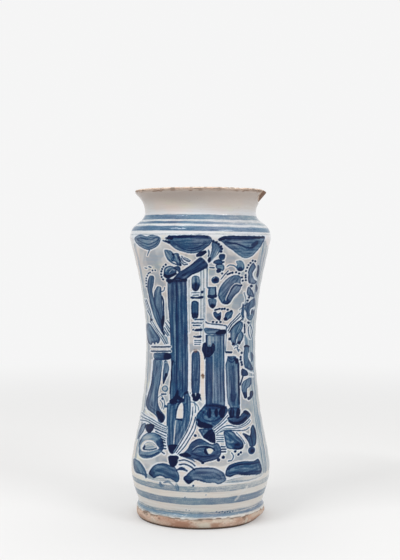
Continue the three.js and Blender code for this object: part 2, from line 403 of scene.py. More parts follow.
def flake_shift(turn, radius, level):
    """How far in a point must go to lie on the face that the flake left, or 0 outside it."""
    tilt = math.radians(FLAKE_TILT_DEG)
    lip_reach = WALL_MARKS[-1][0] - FLAKE_BELOW_RIM * math.tan(tilt)
    out = radius - lip_reach
    up = level - (JAR_HEIGHT - FLAKE_BELOW_RIM)
    deep = out * math.cos(tilt) - up * math.sin(tilt) - (FLAKE_BULK / 2 - FLAKE_BITE)
    tall = out * math.sin(tilt) + up * math.cos(tilt)
    wide = (turn - math.radians(FLAKE_TURN_DEG)) * WALL_MARKS[-1][0]
    half_bulk, half_width, half_length = FLAKE_BULK / 2, FLAKE_WIDTH / 2, FLAKE_LENGTH / 2
    a = (math.cos(tilt) / half_bulk) ** 2 + (math.sin(tilt) / half_length) ** 2
    b = -2 * (deep * math.cos(tilt) / half_bulk ** 2 + tall * math.sin(tilt) / half_length ** 2)
    c = (deep / half_bulk) ** 2 + (wide / half_width) ** 2 + (tall / half_length) ** 2 - 1
    root = np.sqrt(np.maximum(b * b - 4 * a * c, 0))
    return np.where(c < 0, (root - b) / (2 * a), 0)


def foot_line():
    """Underside of the hollowed foot and its rounded edge, out to the widest place."""
    edge = (FOOT_EDGE_RADIUS, FOOT_EDGE_ROUND)
    rounding = bezier([(FOOT_EDGE_RADIUS - FOOT_EDGE_ROUND, 0), (FOOT_EDGE_RADIUS - 0.3, 0.1), edge], 5)
    hollow = (FOOT_HOLLOW_RADIUS, FOOT_HOLLOW)
    slope = bezier([hollow, (FOOT_HOLLOW_RADIUS + 1.5, FOOT_HOLLOW), (FOOT_INNER_RADIUS, 0)], 5)
    side = bezier([edge, (FOOT_WIDEST_RADIUS, 2 * FOOT_EDGE_ROUND), (FOOT_WIDEST_RADIUS, FOOT_WIDEST_LEVEL)], 6)
    return np.concatenate([np.array([(AXIS_RADIUS, FOOT_HOLLOW)]), slope, rounding, side[1:]])


outer_line = wall_line(WALL_MARKS, 80)
clay_wall = outer_line + GLAZE_DEPTH * left_of(outer_line)
foot_top = bezier([(FOOT_WIDEST_RADIUS, FOOT_WIDEST_LEVEL), (FOOT_WIDEST_RADIUS, 9.0), tuple(clay_wall[0])], 12)
clay_side = np.concatenate([foot_top[:-1], clay_wall])
cavity_line = wall_line(CAVITY_MARKS, 60)
floor_corner = [(CAVITY_MARKS[0][0] - FLOOR_CORNER, FLOOR_LEVEL), (CAVITY_MARKS[0][0], FLOOR_LEVEL),
                tuple(CAVITY_MARKS[0][:2])]


def clay_outline():
    """The whole section of the clay, from under the foot over the lip to the middle of the floor."""
    whole = run_lengths(clay_side)[-1]
    fine_low, fine_high = 12.0, whole - 15.0
    side = at_lengths(clay_side, np.concatenate([
        np.arange(0.6, fine_low, 0.6),
        np.arange(fine_low, fine_high, 4.0),
        np.arange(fine_high, whole, 0.45),
    ]))
    out, into = clay_side[-1], cavity_line[-1]
    top = bezier([out, (out[0] + 0.2, JAR_HEIGHT - 0.2), (out[0] - LIP_ROUND, JAR_HEIGHT)], 4)
    fall = bezier([(into[0] + LIP_ROUND, JAR_HEIGHT), (into[0], JAR_HEIGHT), tuple(into)], 4)
    lip = respaced(np.concatenate([top, fall]), 0.4)
    corner = bezier(floor_corner[::-1], 6)
    floor_run = respaced(np.array([floor_corner[0], (AXIS_RADIUS, FLOOR_LEVEL)]), 6.0)
    return np.concatenate([respaced(foot_line(), 0.8), side, lip, cavity_back[1:], corner[1:], floor_run[1:]])


cavity_back = respaced(cavity_line[::-1], 3.0)
clay_line = clay_outline()
outer_part = (np.arange(len(clay_line)) < len(clay_line) - len(cavity_back))[:, None]
turn_row = np.linspace(-math.pi, math.pi, CLAY_COLUMNS, endpoint=False)[None, :]
radius_grid = clay_line[:, :1] + hand_thrown(turn_row, clay_line[:, 1:]) * smooth_step(0, 20, clay_line[:, :1])
level_grid = clay_line[:, 1:] + 0 * turn_row


def round_noise(level, knots, rise, seed):
    """Noise over the clay with a number of knots round the jar and a rise from knot to knot."""
    return smooth_noise(turn_row / (2 * math.pi) * knots + 0 * level, level / rise, seed, knots)


grain = smooth_noise(turn_row * 60 + 0 * level_grid, level_grid * 0.9 + radius_grid * 0.5, 21)
wear = round_noise(level_grid, 64, 3.0, 22)
nicks = round_noise(level_grid, 128, 2.0, 23)
worn_foot = (1 - smooth_step(9, 13, level_grid)) * smooth_step(43, 52, radius_grid)
radius_grid = radius_grid + worn_foot * (FOOT_PITS * wear + 0.07 * grain)
at_lip = smooth_step(JAR_HEIGHT - 4.5, JAR_HEIGHT - 1.0, level_grid) * outer_part
radius_grid = radius_grid - at_lip * (0.12 * grain + NICK_DEPTH * smooth_step(0.35, 0.9, nicks))
shift = flake_shift(turn_row, radius_grid, level_grid) * outer_part
broken = smooth_step(0.0, 0.12, shift)
radius_grid = radius_grid - FLAKE_HOLLOW * shift + broken * (0.10 * grain + 0.12 * wear)
level_grid = level_grid - at_lip * NICK_DROP * smooth_step(0.2, 0.9, nicks)
bulge = between(*BULGE_LEVELS, level_grid)
blunt = (1 - smooth_step(*BLUNT_DEG, np.abs(degrees_from(turn_row, FLAKE_TURN_DEG)))) * outer_part
blunt = blunt * smooth_step(*BLUNT_LEVELS, level_grid)
radius_grid = radius_grid + FLAKE_BULGE * broken * bulge - LIP_BLUNT * blunt
level_grid = level_grid - LIP_BLUNT_DROP * blunt
foot_chip = between(*FOOT_CHIP_TURNS_DEG, np.degrees(turn_row)) * outer_part
foot_chip = foot_chip * smooth_step(44, 50, radius_grid) * (1 - smooth_step(0.5, 5.5, level_grid))
radius_grid = radius_grid - foot_chip * (FOOT_CHIP_DEPTH + 0.6 * wear + 0.3 * grain)
level_grid = level_grid + foot_chip * FOOT_CHIP_LIFT * smooth_step(46, 50, radius_grid)
clay = ring_object("thrown_clay", ring_points(turn_row, radius_grid, level_grid), "root", closed=False)


def add_field(piece, name, values):
    """A value at each point of the mesh for its material to read; spare points get the last one."""
    flat = np.asarray(values, np.float32).reshape(-1)
    full = np.full(len(piece.data.vertices), flat[-1], np.float32)
    full[:len(flat)] = flat
    piece.data.attributes.new(name, "FLOAT", "POINT").data.foreach_set("value", full)


def blot(turn_deg, half_turn, low, high, seed):
    """A soft-edged patch on the clay between two levels, about an angle."""
    ragged = 0.35 * round_noise(level_grid, 140, 1.3, seed) + 0.25 * round_noise(level_grid, 250, 0.7, seed + 9)
    across = 1 - np.abs(degrees_from(turn_row, turn_deg)) / half_turn + ragged
    along = np.minimum(level_grid - low, high - level_grid) + 1.6 * ragged
    return smooth_step(0, 0.5, across) * smooth_step(0, 1.4, along) * outer_part


def deepest(*layers):
    """The strongest of some layers at each point."""
    return np.maximum.reduce(np.broadcast_arrays(*layers))


# Where the clay is paler, browner or darker: pale slip and brown burns on the foot ring, a painted
# contact shadow where it stands, soot in the nicks of the lip, and grime along the glaze. The lip is
# painted paler, partly worn clay and partly painted light on its shaded outer face.
patches = round_noise(level_grid, 40, 3.5, 24)
lip_marks = round_noise(level_grid, 90, 1.2, 25)
on_ring = (level_grid < 12) * smooth_step(43, 48, radius_grid)
at_rim = (level_grid > 270) * outer_part
under_glaze = between(7.0, 8.2, 9.6, 10.4, level_grid) * on_ring
pale = deepest(
    blot(2.5, 7.5, 0.8, 7.0, 51), blot(44, 2.2, 1.0, 7.5, 52),
    # The lip is paler: partly its worn clay, partly painted light on its outer face, which lies in shade.
    0.6 * smooth_step(0.1, 0.8, patches + 0.25 * grain) * on_ring, 0.35 * at_rim,
)
brown = deepest(
    blot(-17, 13, 0.2, 8.0, 53), 0.8 * blot(12.5, 5, 0.4, 6.6, 54), 0.8 * blot(68, 16, 0.2, 5.6, 49),
    0.6 * smooth_step(0.1, 0.8, 0.25 * grain - patches) * on_ring, blot(5, 4.5, 6.9, 8.2, 55), 0.08 * at_rim,
)
dirt_and_shade = deepest(
    # Painted contact shadow: the bottom of the foot is darkened where it stands on the table.
    (1 - smooth_step(1.5, 2.3, level_grid)) * smooth_step(52, 53, radius_grid),
    0.7 * blot(-57, 3.2, 6.4, 9.6, 56), 0.7 * blot(-46, 5.5, 7.6, 9.4, 57),
    0.75 * blot(-38.5, 1.5, 6.0, 8.2, 50), 0.6 * blot(41, 3.0, 5.0, 9.4, 48),
    *[0.9 * blot(nick_turn, 0.9, 277.6, 279.6, 58 + int(nick_turn)) for nick_turn in (44, 47.5, 51, 56, 62)],
    0.7 * blot(-80, 9, 276.5, 280.5, 59), 0.55 * smooth_step(0.25, 0.7, lip_marks) * at_rim,
    0.7 * smooth_step(0.1, 0.6, lip_marks) * under_glaze,
)
for name, values in (("broken", broken), ("pale", pale), ("brown", brown), ("dirt_and_shade", dirt_and_shade)):
    add_field(clay, name, values)


def paint(red, green, blue):
    """A colour as seen on screen, from 0 to 255, as the linear light that a shader takes."""
    parts = [value / 255 for value in (red, green, blue)]
    return tuple(part / 12.92 if part <= 0.04045 else ((part + 0.055) / 1.055) ** 2.4 for part in parts) + (1,)


def spread(tree, value, low, high, to_low=0.0, to_high=1.0):
    """The value taken from one range to another and held there."""
    node = add_node(tree, "ShaderNodeMapRange", {1: low, 2: high, 3: to_low, 4: to_high})
    tree.links.new(value, node.inputs[0])
    return node.outputs[0]


def noise(tree, knots, detail=3.0, roughness=0.5, stretch=None):
    """Noise in space with a number of knots in a metre; stretch packs them along an axis."""
    place = add_node(tree, "ShaderNodeTexCoord").outputs["Object"]
    if stretch:
        mapping = add_node(tree, "ShaderNodeMapping", {"Scale": stretch})
        tree.links.new(place, mapping.inputs["Vector"])
        place = mapping.outputs["Vector"]
    node = add_node(tree, "ShaderNodeTexNoise", {"Scale": knots, "Detail": detail, "Roughness": roughness})
    tree.links.new(place, node.inputs["Vector"])
    return node.outputs["Fac"]


def clouds(tree, knots, low, high, to_low=0.0, to_high=1.0, **grain_of_noise):
    """Noise, with the range from low to high spread over another one."""
    return spread(tree, noise(tree, knots, **grain_of_noise), low, high, to_low, to_high)


def mixed(tree, share, first, second):
    """The first colour turned to the second by a share from 0 to 1; colours may be on-screen numbers."""
    node = add_node(tree, "ShaderNodeMix", data_type="RGBA")
    for socket, value in (("Factor", share), ("A", first), ("B", second)):
        slot = [one for one in node.inputs if one.name == socket and one.enabled][0]
        if isinstance(value, tuple):
            slot.default_value = paint(*value)
        else:
            tree.links.new(value, slot)
    return [one for one in node.outputs if one.enabled][0]


def field(tree, name):
    """A value stored with add_field, for a material."""
    return add_node(tree, "ShaderNodeAttribute", attribute_name=name).outputs["Fac"]


def specks_group():
    """Dark specks that iron grit in the clay burns through to the surface, at a size and a density."""
    group = bpy.data.node_groups.new("burnt_specks", "ShaderNodeTree")
    group.interface.new_socket("Place", in_out="INPUT", socket_type="NodeSocketVector")
    for name in ("Knots", "From", "Full", "Strength"):
        group.interface.new_socket(name, in_out="INPUT", socket_type="NodeSocketFloat")
    group.interface.new_socket("Mask", in_out="OUTPUT", socket_type="NodeSocketFloat")
    given = add_node(group, "NodeGroupInput")
    grit = add_node(group, "ShaderNodeTexNoise", {"Detail": 2.0})
    share = add_node(group, "ShaderNodeMapRange")
    out = add_node(group, "NodeGroupOutput")
    group.links.new(given.outputs["Place"], grit.inputs["Vector"])
    group.links.new(given.outputs["Knots"], grit.inputs["Scale"])
    group.links.new(grit.outputs["Fac"], share.inputs["Value"])
    for given_name, socket in (("From", "From Min"), ("Full", "From Max"), ("Strength", "To Max")):
        group.links.new(given.outputs[given_name], share.inputs[socket])
    group.links.new(share.outputs[0], out.inputs["Mask"])
    return group


burnt_specks = specks_group()


def specks(tree, knots, first, full, strength):
    """Mask of specks: knots in a metre, the noise where they start and are full, and their strength."""
    values = {"Knots": knots, "From": first, "Full": full, "Strength": strength}
    node = add_node(tree, "ShaderNodeGroup", node_tree=burnt_specks)
    for socket, value in values.items():
        node.inputs[socket].default_value = value
    tree.links.new(add_node(tree, "ShaderNodeTexCoord").outputs["Object"], node.inputs["Place"])
    return node.outputs["Mask"]


def finish_shader(tree, colour, roughness, height, bump_strength, bump_distance, **fixed):
    """The surface itself, with its bump; what is the same all over is set on the socket."""
    shader = add_node(tree, "ShaderNodeBsdfPrincipled")
    for socket, value in fixed.items():
        shader.inputs[socket.replace("_", " ")].default_value = value
    bump = add_node(tree, "ShaderNodeBump", {"Strength": bump_strength, "Distance": bump_distance})
    out = add_node(tree, "ShaderNodeOutputMaterial")
    tree.links.new(height, bump.inputs["Height"])
    tree.links.new(bump.outputs[0], shader.inputs["Normal"])
    tree.links.new(colour, shader.inputs["Base Color"])
    tree.links.new(roughness, shader.inputs["Roughness"])
    tree.links.new(shader.outputs[0], out.inputs["Surface"])


CLAY_BUFF = (218, 190, 171)
CLAY_ROSE = (204, 170, 150)
CLAY_LIGHT = (230, 210, 194)
CLAY_GRIT = (108, 76, 56)
CLAY_PALE = (216, 206, 190)
CLAY_BURNT = (176, 134, 112)
CLAY_DIRT_AND_SHADE = (92, 72, 60)
CLAY_BROKEN = (122, 88, 66)


def bare_clay_material():
    """Dry, grainy earthenware with patches of slip, burns and dirt, a painted contact shadow under the foot and
    painted light on the lip.
    """
    material = new_material("bare_earthenware")
    tree = material.node_tree
    buff = mixed(tree, clouds(tree, 60, 0.35, 0.65, detail=4, roughness=0.6), CLAY_BUFF, CLAY_ROSE)
    light = clouds(tree, 150, 0.50, 0.66, roughness=0.6, stretch=(1, 1, 2))
    buff = mixed(tree, light, buff, CLAY_LIGHT)
    buff = mixed(tree, specks(tree, 900, 0.60, 0.72, 0.6), buff, CLAY_GRIT)
    for name, colour in (("pale", CLAY_PALE), ("brown", CLAY_BURNT), ("dirt_and_shade", CLAY_DIRT_AND_SHADE), ("broken", CLAY_BROKEN)):
        buff = mixed(tree, field(tree, name), buff, colour)
    rough = clouds(tree, 300, 0.3, 0.7, 0.70, 0.92, detail=2)
    finish_shader(tree, buff, rough, noise(tree, 800, 4, 0.6), 0.5, 0.0006)
    return material


clay.data.materials.append(bare_clay_material())
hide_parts("clay_body")


# Inner glaze: the same white tin glaze as outside, poured in, swilled round and left plain. It lies
# fused to the clay from the floor up the wall, and thins out where it ends just inside the lip.
INNER_GLAZE_TOP = 278.4
INNER_GLAZE_EDGE = 0.25
INNER_GLAZE_THINNING = 3.0
INNER_COLUMNS = 360
COAT_OFF_CLAY = 0.02
GLAZE_SPECULAR = 0.15
LINING_WHITE = (226, 214, 198)
LINING_GREY = (212, 206, 194)
LINING_GRIT = (120, 98, 84)

inner_wall = cavity_line[cavity_line[:, 1] <= INNER_GLAZE_TOP]
floor_line = np.array([(AXIS_RADIUS, FLOOR_LEVEL), (20.0, FLOOR_LEVEL)])
cavity_run = respaced(np.concatenate([floor_line, bezier(floor_corner, 8), inner_wall[1:]]), 1.4)
edge_run = run_lengths(cavity_run)
worn_edge = smooth_step(edge_run[-1] - INNER_GLAZE_THINNING, edge_run[-1], edge_run)
lining_depth = GLAZE_DEPTH * (1 - (1 - INNER_GLAZE_EDGE) * worn_edge)
inner_skin = cavity_run + left_of(cavity_run) * lining_depth[:, None]
inner_back = respaced(cavity_run + left_of(cavity_run) * COAT_OFF_CLAY, 3.0)
lining = np.concatenate([inner_back, inner_skin[::-1]])
lining_turn = np.linspace(-math.pi, math.pi, INNER_COLUMNS, endpoint=False)[None, :]
lining_level = lining[:, 1:] + 0 * lining_turn
lining_radius = lining[:, :1] + hand_thrown(lining_turn, lining_level) * smooth_step(0, 20, lining[:, :1])
lining_rings = ring_points(lining_turn, lining_radius, lining_level)
inner_glaze = ring_object("inner_glaze_coat", lining_rings, "root", closed=False)


def plain_glaze_material():
    """White tin glaze with a few burnt specks and nothing painted on it."""
    material = new_material("plain_tin_glaze")
    tree = material.node_tree
    white = mixed(tree, clouds(tree, 24, 0.4, 0.65), LINING_WHITE, LINING_GREY)
    colour = mixed(tree, specks(tree, 700, 0.68, 0.76, 0.5), white, LINING_GRIT)
    rough = clouds(tree, 120, 0.3, 0.7, 0.14, 0.28)
    finish_shader(tree, colour, rough, noise(tree, 140), 0.12, 0.001, Specular_IOR_Level=GLAZE_SPECULAR)
    return material


inner_glaze.data.materials.append(plain_glaze_material())
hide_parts("inner_glaze")


# Outer glaze: white tin glaze over the whole outside, painted with cobalt before the firing. It ends
# in a wavering line on the foot, a little below the worn lip, and where the flake broke off with it.
GLAZE_COLUMNS = 660
GLAZE_SPACING = 0.55
BACK_ROWS_ON_FOOT = 16
BACK_ROWS_ABOVE = 40
BACK_FOOT_SHARE = 0.06
FOOT_EDGE_LEVEL = 8.8
GLAZE_ON_FOOT = 0.5
RIM_EDGE_LEVEL = 277.6
EDGE_THICKNESS = 0.30
# How the line on the foot wavers: knots round the jar, height and seed.
FOOT_WAVES = ((9, 0.5, 31), (37, 0.5, 32), (120, 0.35, 37))
RIM_WEAR = 1.0
RIM_ROUGHNESS = 0.5
FLAKE_EDGE_BACK = 0.35
FLAKE_EDGE_ROUGHNESS = 0.3
LOW_EDGE_ROUND = 1.4
HIGH_EDGE_ROUND = 1.6
GLAZE_DRIFT = 0.06

over_foot = bezier([(FOOT_WIDEST_RADIUS + GLAZE_ON_FOOT, FOOT_WIDEST_LEVEL),
                    (FOOT_WIDEST_RADIUS + GLAZE_ON_FOOT, FOOT_WIDEST_LEVEL + 4.0),
                    (WALL_MARKS[0][0], WALL_MARKS[0][1] + 0.6)], 24)
above_foot = outer_line[outer_line[:, 1] > WALL_MARKS[0][1] + 0.8]
glazed_line = respaced(np.concatenate([over_foot, above_foot]), 0.25)
side_run = run_lengths(glazed_line)
glazed_radius, glazed_level = glazed_line.T
side_in = left_of(glazed_line)


def run_at(level):
    """Run along the wall at a level of the glazed surface."""
    return np.interp(level, glazed_level, side_run)


def level_at(along):
    """Level of the glazed surface at a run along the wall."""
    return np.interp(along, side_run, glazed_level)


def radius_at(along):
    """Radius of the glazed surface at a run along the wall."""
    return np.interp(along, side_run, glazed_radius)


def side_points(turn, along, sunk):
    """Points at a run along the glazed wall and a depth under it, for angles of the same shape."""
    radius = radius_at(along) + sunk * np.interp(along, side_run, side_in[:, 0])
    level = level_at(along) + sunk * np.interp(along, side_run, side_in[:, 1])
    return ring_points(turn, radius + hand_thrown(turn, level_at(along)), level)


def coat_depth(along):
    """Depth of the coat down to the clay: thinner where it runs out on the foot."""
    on_foot = 1 - smooth_step(run_at(11.0), run_at(14.0), along)
    return GLAZE_DEPTH - on_foot * (GLAZE_DEPTH - GLAZE_ON_FOOT)


def coat_noise(knots, seed, place=0.0, grid=0.0):
    """Noise over the coat with a number of knots round the jar; place is where it is up the noise."""
    across = share_round * knots + 0 * grid
    return smooth_noise(across, place + 0 * across, seed, knots)


glaze_turn = -math.pi + 2 * math.pi * np.arange(GLAZE_COLUMNS) / GLAZE_COLUMNS
share_round = np.arange(GLAZE_COLUMNS) / GLAZE_COLUMNS
foot_waver = sum(height * coat_noise(knots, seed, 0.5) for knots, height, seed in FOOT_WAVES)
edge_low = run_at(FOOT_EDGE_LEVEL + foot_waver)
rim_worn = RIM_WEAR * smooth_step(-0.1, 0.9, coat_noise(41, 33, 0.5)) + RIM_ROUGHNESS * coat_noise(130, 34, 0.5)
edge_high = run_at(RIM_EDGE_LEVEL - rim_worn)
scan = np.linspace(run_at(255.0), side_run[-1], 400)[:, None]
scan_points = side_points(glaze_turn + 0 * scan, scan + 0 * glaze_turn, 0.0)
scan_radius = np.hypot(scan_points[..., 0], scan_points[..., 1])
in_flake = flake_shift(glaze_turn, scan_radius, scan_points[..., 2]) > 0
flake_edge = scan[np.argmax(in_flake, axis=0), 0] - FLAKE_EDGE_BACK - FLAKE_EDGE_ROUGHNESS * coat_noise(170, 35)
at_flake = in_flake.any(axis=0) & (flake_edge < edge_high)
edge_high = np.where(at_flake, flake_edge, edge_high)

glaze_rows = round((side_run[-1] - run_at(FOOT_EDGE_LEVEL)) / GLAZE_SPACING)
up_share = np.linspace(0, 1, glaze_rows)[:, None]
along_grid = edge_low + up_share * (edge_high - edge_low)
from_low = along_grid - edge_low
from_high = edge_high - along_grid
lip_thinning = np.where(at_flake, 1.0, smooth_step(0.0, HIGH_EDGE_ROUND, from_high))
thin = smooth_step(0.0, LOW_EDGE_ROUND, from_low) * lip_thinning
drift = coat_noise(24, 36, along_grid / 14, along_grid)
sunk_grid = coat_depth(along_grid) * (1 - EDGE_THICKNESS) * (1 - thin) - GLAZE_DRIFT * drift * thin
skin_rings = side_points(glaze_turn + 0 * along_grid, along_grid, sunk_grid)
back_share = np.concatenate([np.linspace(1, BACK_FOOT_SHARE, BACK_ROWS_ABOVE, endpoint=False),
                             np.linspace(BACK_FOOT_SHARE, 0, BACK_ROWS_ON_FOOT)])[:, None]
back_along = edge_low + back_share * (edge_high - edge_low)
back_rings = side_points(glaze_turn + 0 * back_along, back_along, coat_depth(back_along) - COAT_OFF_CLAY)
outer_glaze = ring_object("painted_glaze_coat", np.concatenate([skin_rings, back_rings]), "root", closed=True)
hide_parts("outer_glaze")

# The painting on the outer glaze. The painter works with a full brush of cobalt: broad strokes that
# pool dark at their ends and rims, thin lines, rows of dots and lines scratched back to the white.
# Places are (across, up) in a front view of the jar, in millimetres from its axis and its base.
VIEW_DISTANCE = CAMERA_DISTANCE / MM
VIEW_HEIGHT = CAMERA_HEIGHT / MM
# Tones of the cobalt: 0 is bare glaze, 1 is dark, and pooled ink stops at DARKEST. Where two marks
# cross, OVERLAP is how much of the lighter one is added. CLEAN is the wash of a place kept clean, and
# the painted reflection on the shoulder is laid with it too.
MID, DEEP, DARK = 0.60, 0.78, 1.0
DARKEST = 1.1
OVERLAP = 0.12
CLEAN = -1.0
# Beyond this angle from the middle of the panel, places go on along the tangent of the front view.
SIDE_LIMIT_DEG = 76.0
# Half the width over which the edge of a mark fades: broad strokes, fine lines and dots, bands.
BROAD_EDGE = 0.28
FINE_EDGE = 0.25
BAND_EDGE = 0.3
# The angle where bands drawn on the wheel are highest and darkest.
BAND_HIGH_DEG = -60

coat_level = level_at(along_grid)
coat_radius = radius_at(along_grid)


def on_wall(points):
    """Angle and run along the wall of places in the front view."""
    across, up = np.asarray(points, float).reshape(-1, 2).T
    level = up.copy()
    for _ in range(25):
        radius = np.interp(level, glazed_level, glazed_radius)
        near = np.sqrt(np.maximum(radius ** 2 - np.minimum(np.abs(across), 0.995 * radius) ** 2, 0))
        scale = 1 - near / VIEW_DISTANCE
        level = 0.5 * level + 0.5 * (VIEW_HEIGHT + scale * (up - VIEW_HEIGHT))
    side = np.clip(scale * across, -0.998 * radius, 0.998 * radius)
    return np.stack([np.arcsin(side / radius), run_at(level)], axis=1)


def smooth_curve(points, closed):
    """Points on a smooth curve through the given ones."""
    if closed:
        held = np.concatenate([points[-1:], points, points[:2]])
    else:
        held = np.concatenate([2 * points[:1] - points[1:2], points, 2 * points[-1:] - points[-2:-1]])
    a, b, c, d = held[:-3, None], held[1:-2, None], held[2:-1, None], held[3:, None]
    t = np.linspace(0, 1, 7, endpoint=False)[None, :, None]
    curve = 0.5 * (2 * b + (c - a) * t + (2 * a - 5 * b + 4 * c - d) * t ** 2 + (3 * b - a - 3 * c + d) * t ** 3)
    curve = curve.reshape(-1, points.shape[1])
    return curve if closed else np.concatenate([curve, points[-1:]])


class Brush:
    """The painter's brush on one side of the jar: cobalt ink, thin grey-green wash, and iron rust."""

    ink = np.zeros(along_grid.shape)
    wash = np.zeros(along_grid.shape)
    rust = np.zeros(along_grid.shape)

    def __init__(self, centre, mirror, seed):
        self.centre, self.mirror, self.seed = centre, mirror, seed

    def noise(self, across, up, shift=50, later=0):
        """Noise that only this mark has, read at a shift; later picks another of its noises."""
        return smooth_noise(across + shift, up + shift, self.seed + later)

    def across(self, aside, radius):
        """Place across the front view for an angle from the middle of the panel."""
        limit = math.radians(SIDE_LIMIT_DEG)
        held = np.clip(aside, -limit, limit)
        return radius * (np.sin(held) + (aside - held) * np.cos(held))

    def area(self, places, reach):
        """The part of the grid round some places, and both in millimetres across and along."""
        turn = self.centre + self.mirror * places[:, 0]
        furthest = min(np.abs(places[:, 0]).max() + 0.1, math.radians(SIDE_LIMIT_DEG))
        spare = reach / (WALL_MARKS[2][0] * math.cos(furthest))
        step = 2 * math.pi / GLAZE_COLUMNS
        first = math.floor((turn.min() - spare + math.pi) / step)
        last = math.ceil((turn.max() + spare + math.pi) / step)
        cols = np.arange(first, last + 1)
        mid_low, mid_run = np.median(edge_low), np.median(edge_high) - np.median(edge_low)
        top = (places[:, 1].max() + reach + 2 - mid_low) / mid_run * glaze_rows
        bottom = (places[:, 1].min() - reach - 2 - mid_low) / mid_run * glaze_rows
        rows = np.arange(max(0, int(bottom)), min(glaze_rows, int(top) + 2))
        cut = np.ix_(rows, cols % GLAZE_COLUMNS)
        aside = self.mirror * (-math.pi + step * cols[None, :] - self.centre)
        u, v = self.across(aside, coat_radius[cut]), along_grid[cut]
        marks = np.stack([self.across(places[:, 0], radius_at(places[:, 1])), places[:, 1]], axis=1)
        self.seed += 1
        return cut, u, v, marks

    def lay(self, cut, cover, value):
        """Lay ink where cover is 1; over older ink the darker of the two shows, and a little of both."""
        below = Brush.ink[cut]
        value = np.clip(value, 0, DARKEST)
        laid = np.maximum(below, value) + OVERLAP * np.minimum(below, value)
        Brush.ink[cut] = below + cover * (laid - below)

    def keep_clean(self, cut, depth, cover, reach=1.3):
        """The wash stops short of a shape, so that a clean white line is left round it."""
        ring = 0.8 * smooth_step(-reach, 0.5 - reach, depth) * (1 - cover)
        Brush.wash[cut] += ring * (CLEAN - Brush.wash[cut])

    @staticmethod
    def nearest(u, v, marks, closed=False):
        """Distance to a line, the side of it, the length run along it and its whole length."""
        ends = np.roll(marks, -1, axis=0) if closed else marks[1:]
        starts = marks if closed else marks[:-1]
        best = np.full(u.shape, 1e9)
        side, along = np.zeros(u.shape), np.zeros(u.shape)
        done = 0.0
        for start, end in zip(starts, ends):
            du, dv = end - start
            length = math.hypot(du, dv) + 1e-9
            t = np.clip(((u - start[0]) * du + (v - start[1]) * dv) / length ** 2, 0, 1)
            away = np.hypot(u - start[0] - t * du, v - start[1] - t * dv)
            nearer = away < best
            best = np.where(nearer, away, best)
            cross = ((u - start[0]) * dv - (v - start[1]) * du) / length
            side = np.where(nearer, cross, side)
            along = np.where(nearer, done + t * length, along)
            done += length
        return best, side, along, done

    def stroke(self, path, width, tone=MID, pool=0.0, rim=0.14, streak=0.14, ragged=0.12):
        """One pull of the brush. Width is one number or one for each place."""
        places = on_wall(path)
        widths = np.full(len(places), float(width)) if np.isscalar(width) else np.array(width, float)
        fine = smooth_curve(np.column_stack([places, widths]), closed=False)
        cut, u, v, marks = self.area(fine[:, :2], fine[:, 2].max() / 2 + 1.5)
        away, side, along, total = self.nearest(u, v, marks)
        half = np.interp(along, run_lengths(marks), fine[:, 2]) / 2
        away = away + ragged * self.noise(along / 1.5, side / 2, 40)
        cover = 1 - smooth_step(half - BROAD_EDGE, half + BROAD_EDGE, away)
        value = tone + streak * self.noise(side / 0.75, along / 11, 60, 500)
        value = value + 0.5 * streak * self.noise(side / 2.5, along / 6, 60, 900)
        value = value + rim * smooth_step(0.55, 0.95, away / np.maximum(half, 0.3))
        if pool:
            value = value + pool * smooth_step(total - 1.6 * fine[:, 2].max(), total - 0.3, along)
        self.lay(cut, cover, value)
        self.keep_clean(cut, half - away, cover, 1.1)

    def line(self, path, width=0.9, tone=DEEP):
        """A thin, even line."""
        self.stroke(path, width, tone, rim=0.0, streak=0.10, ragged=0.10)

    def fine_lines(self, paths, width=0.8, tone=DEEP):
        """Fine lines side by side, each with white left along it."""
        for path in paths:
            self.scratch(path, 2.6 * width, 0.75)
            self.line(path, width, tone)

    def scratch(self, path, width=0.8, depth=0.92):
        """A line scratched or left white."""
        places = on_wall(path)
        fine = smooth_curve(places, closed=False) if len(places) > 2 else places
        cut, u, v, marks = self.area(fine, width + 1.5)
        away = self.nearest(u, v, marks)[0] + 0.08 * self.noise(u, v, 40)
        cover = 1 - smooth_step(width / 2 - FINE_EDGE, width / 2 + FINE_EDGE, away)
        Brush.ink[cut] *= 1 - depth * cover
        Brush.wash[cut] += depth * cover * (CLEAN - Brush.wash[cut])

    def inside(self, outline, soft=True):
        """The part of the grid round a closed outline, and how deep inside it each place lies."""
        places = on_wall(outline)
        fine = smooth_curve(places, closed=True) if soft else places
        cut, u, v, marks = self.area(fine, 1.5)
        away = self.nearest(u, v, marks, closed=True)[0]
        odd = np.zeros(u.shape, bool)
        for start, end in zip(marks, np.roll(marks, -1, axis=0)):
            spans = (start[1] > v) != (end[1] > v)
            cross = start[0] + (v - start[1]) / (end[1] - start[1] + 1e-12) * (end[0] - start[0])
            odd ^= spans & (u < cross)
        return cut, u, v, np.where(odd, away, -away)

    def patch(self, outline, tone=MID, lean=0.0, rim=0.2, streak=0.13, pool=None, soft=True):
        """A filled shape: lean is the angle of its brush marks, pool (across, up, radius, amount)."""
        cut, u, v, depth = self.inside(outline, soft)
        depth = depth + 0.12 * self.noise(u / 1.3, v / 1.3)
        cover = smooth_step(-BROAD_EDGE, BROAD_EDGE, depth)
        run = u * math.cos(math.radians(lean)) + v * math.sin(math.radians(lean))
        aside = -u * math.sin(math.radians(lean)) + v * math.cos(math.radians(lean))
        value = tone + streak * self.noise(aside / 0.8, run / 10, 60, 500)
        value = value + 0.9 * streak * self.noise(depth / 0.9, run / 14, 60, 700)
        value = value + rim * (1 - smooth_step(0.3, 1.1, depth))
        if pool:
            centre = on_wall(pool[:2])[0]
            gap = np.hypot(u - self.across(centre[0], radius_at(centre[1])), v - centre[1])
            value = value + pool[3] * (1 - smooth_step(0.5 * pool[2], pool[2], gap))
        self.lay(cut, cover, value)
        self.keep_clean(cut, depth, cover)

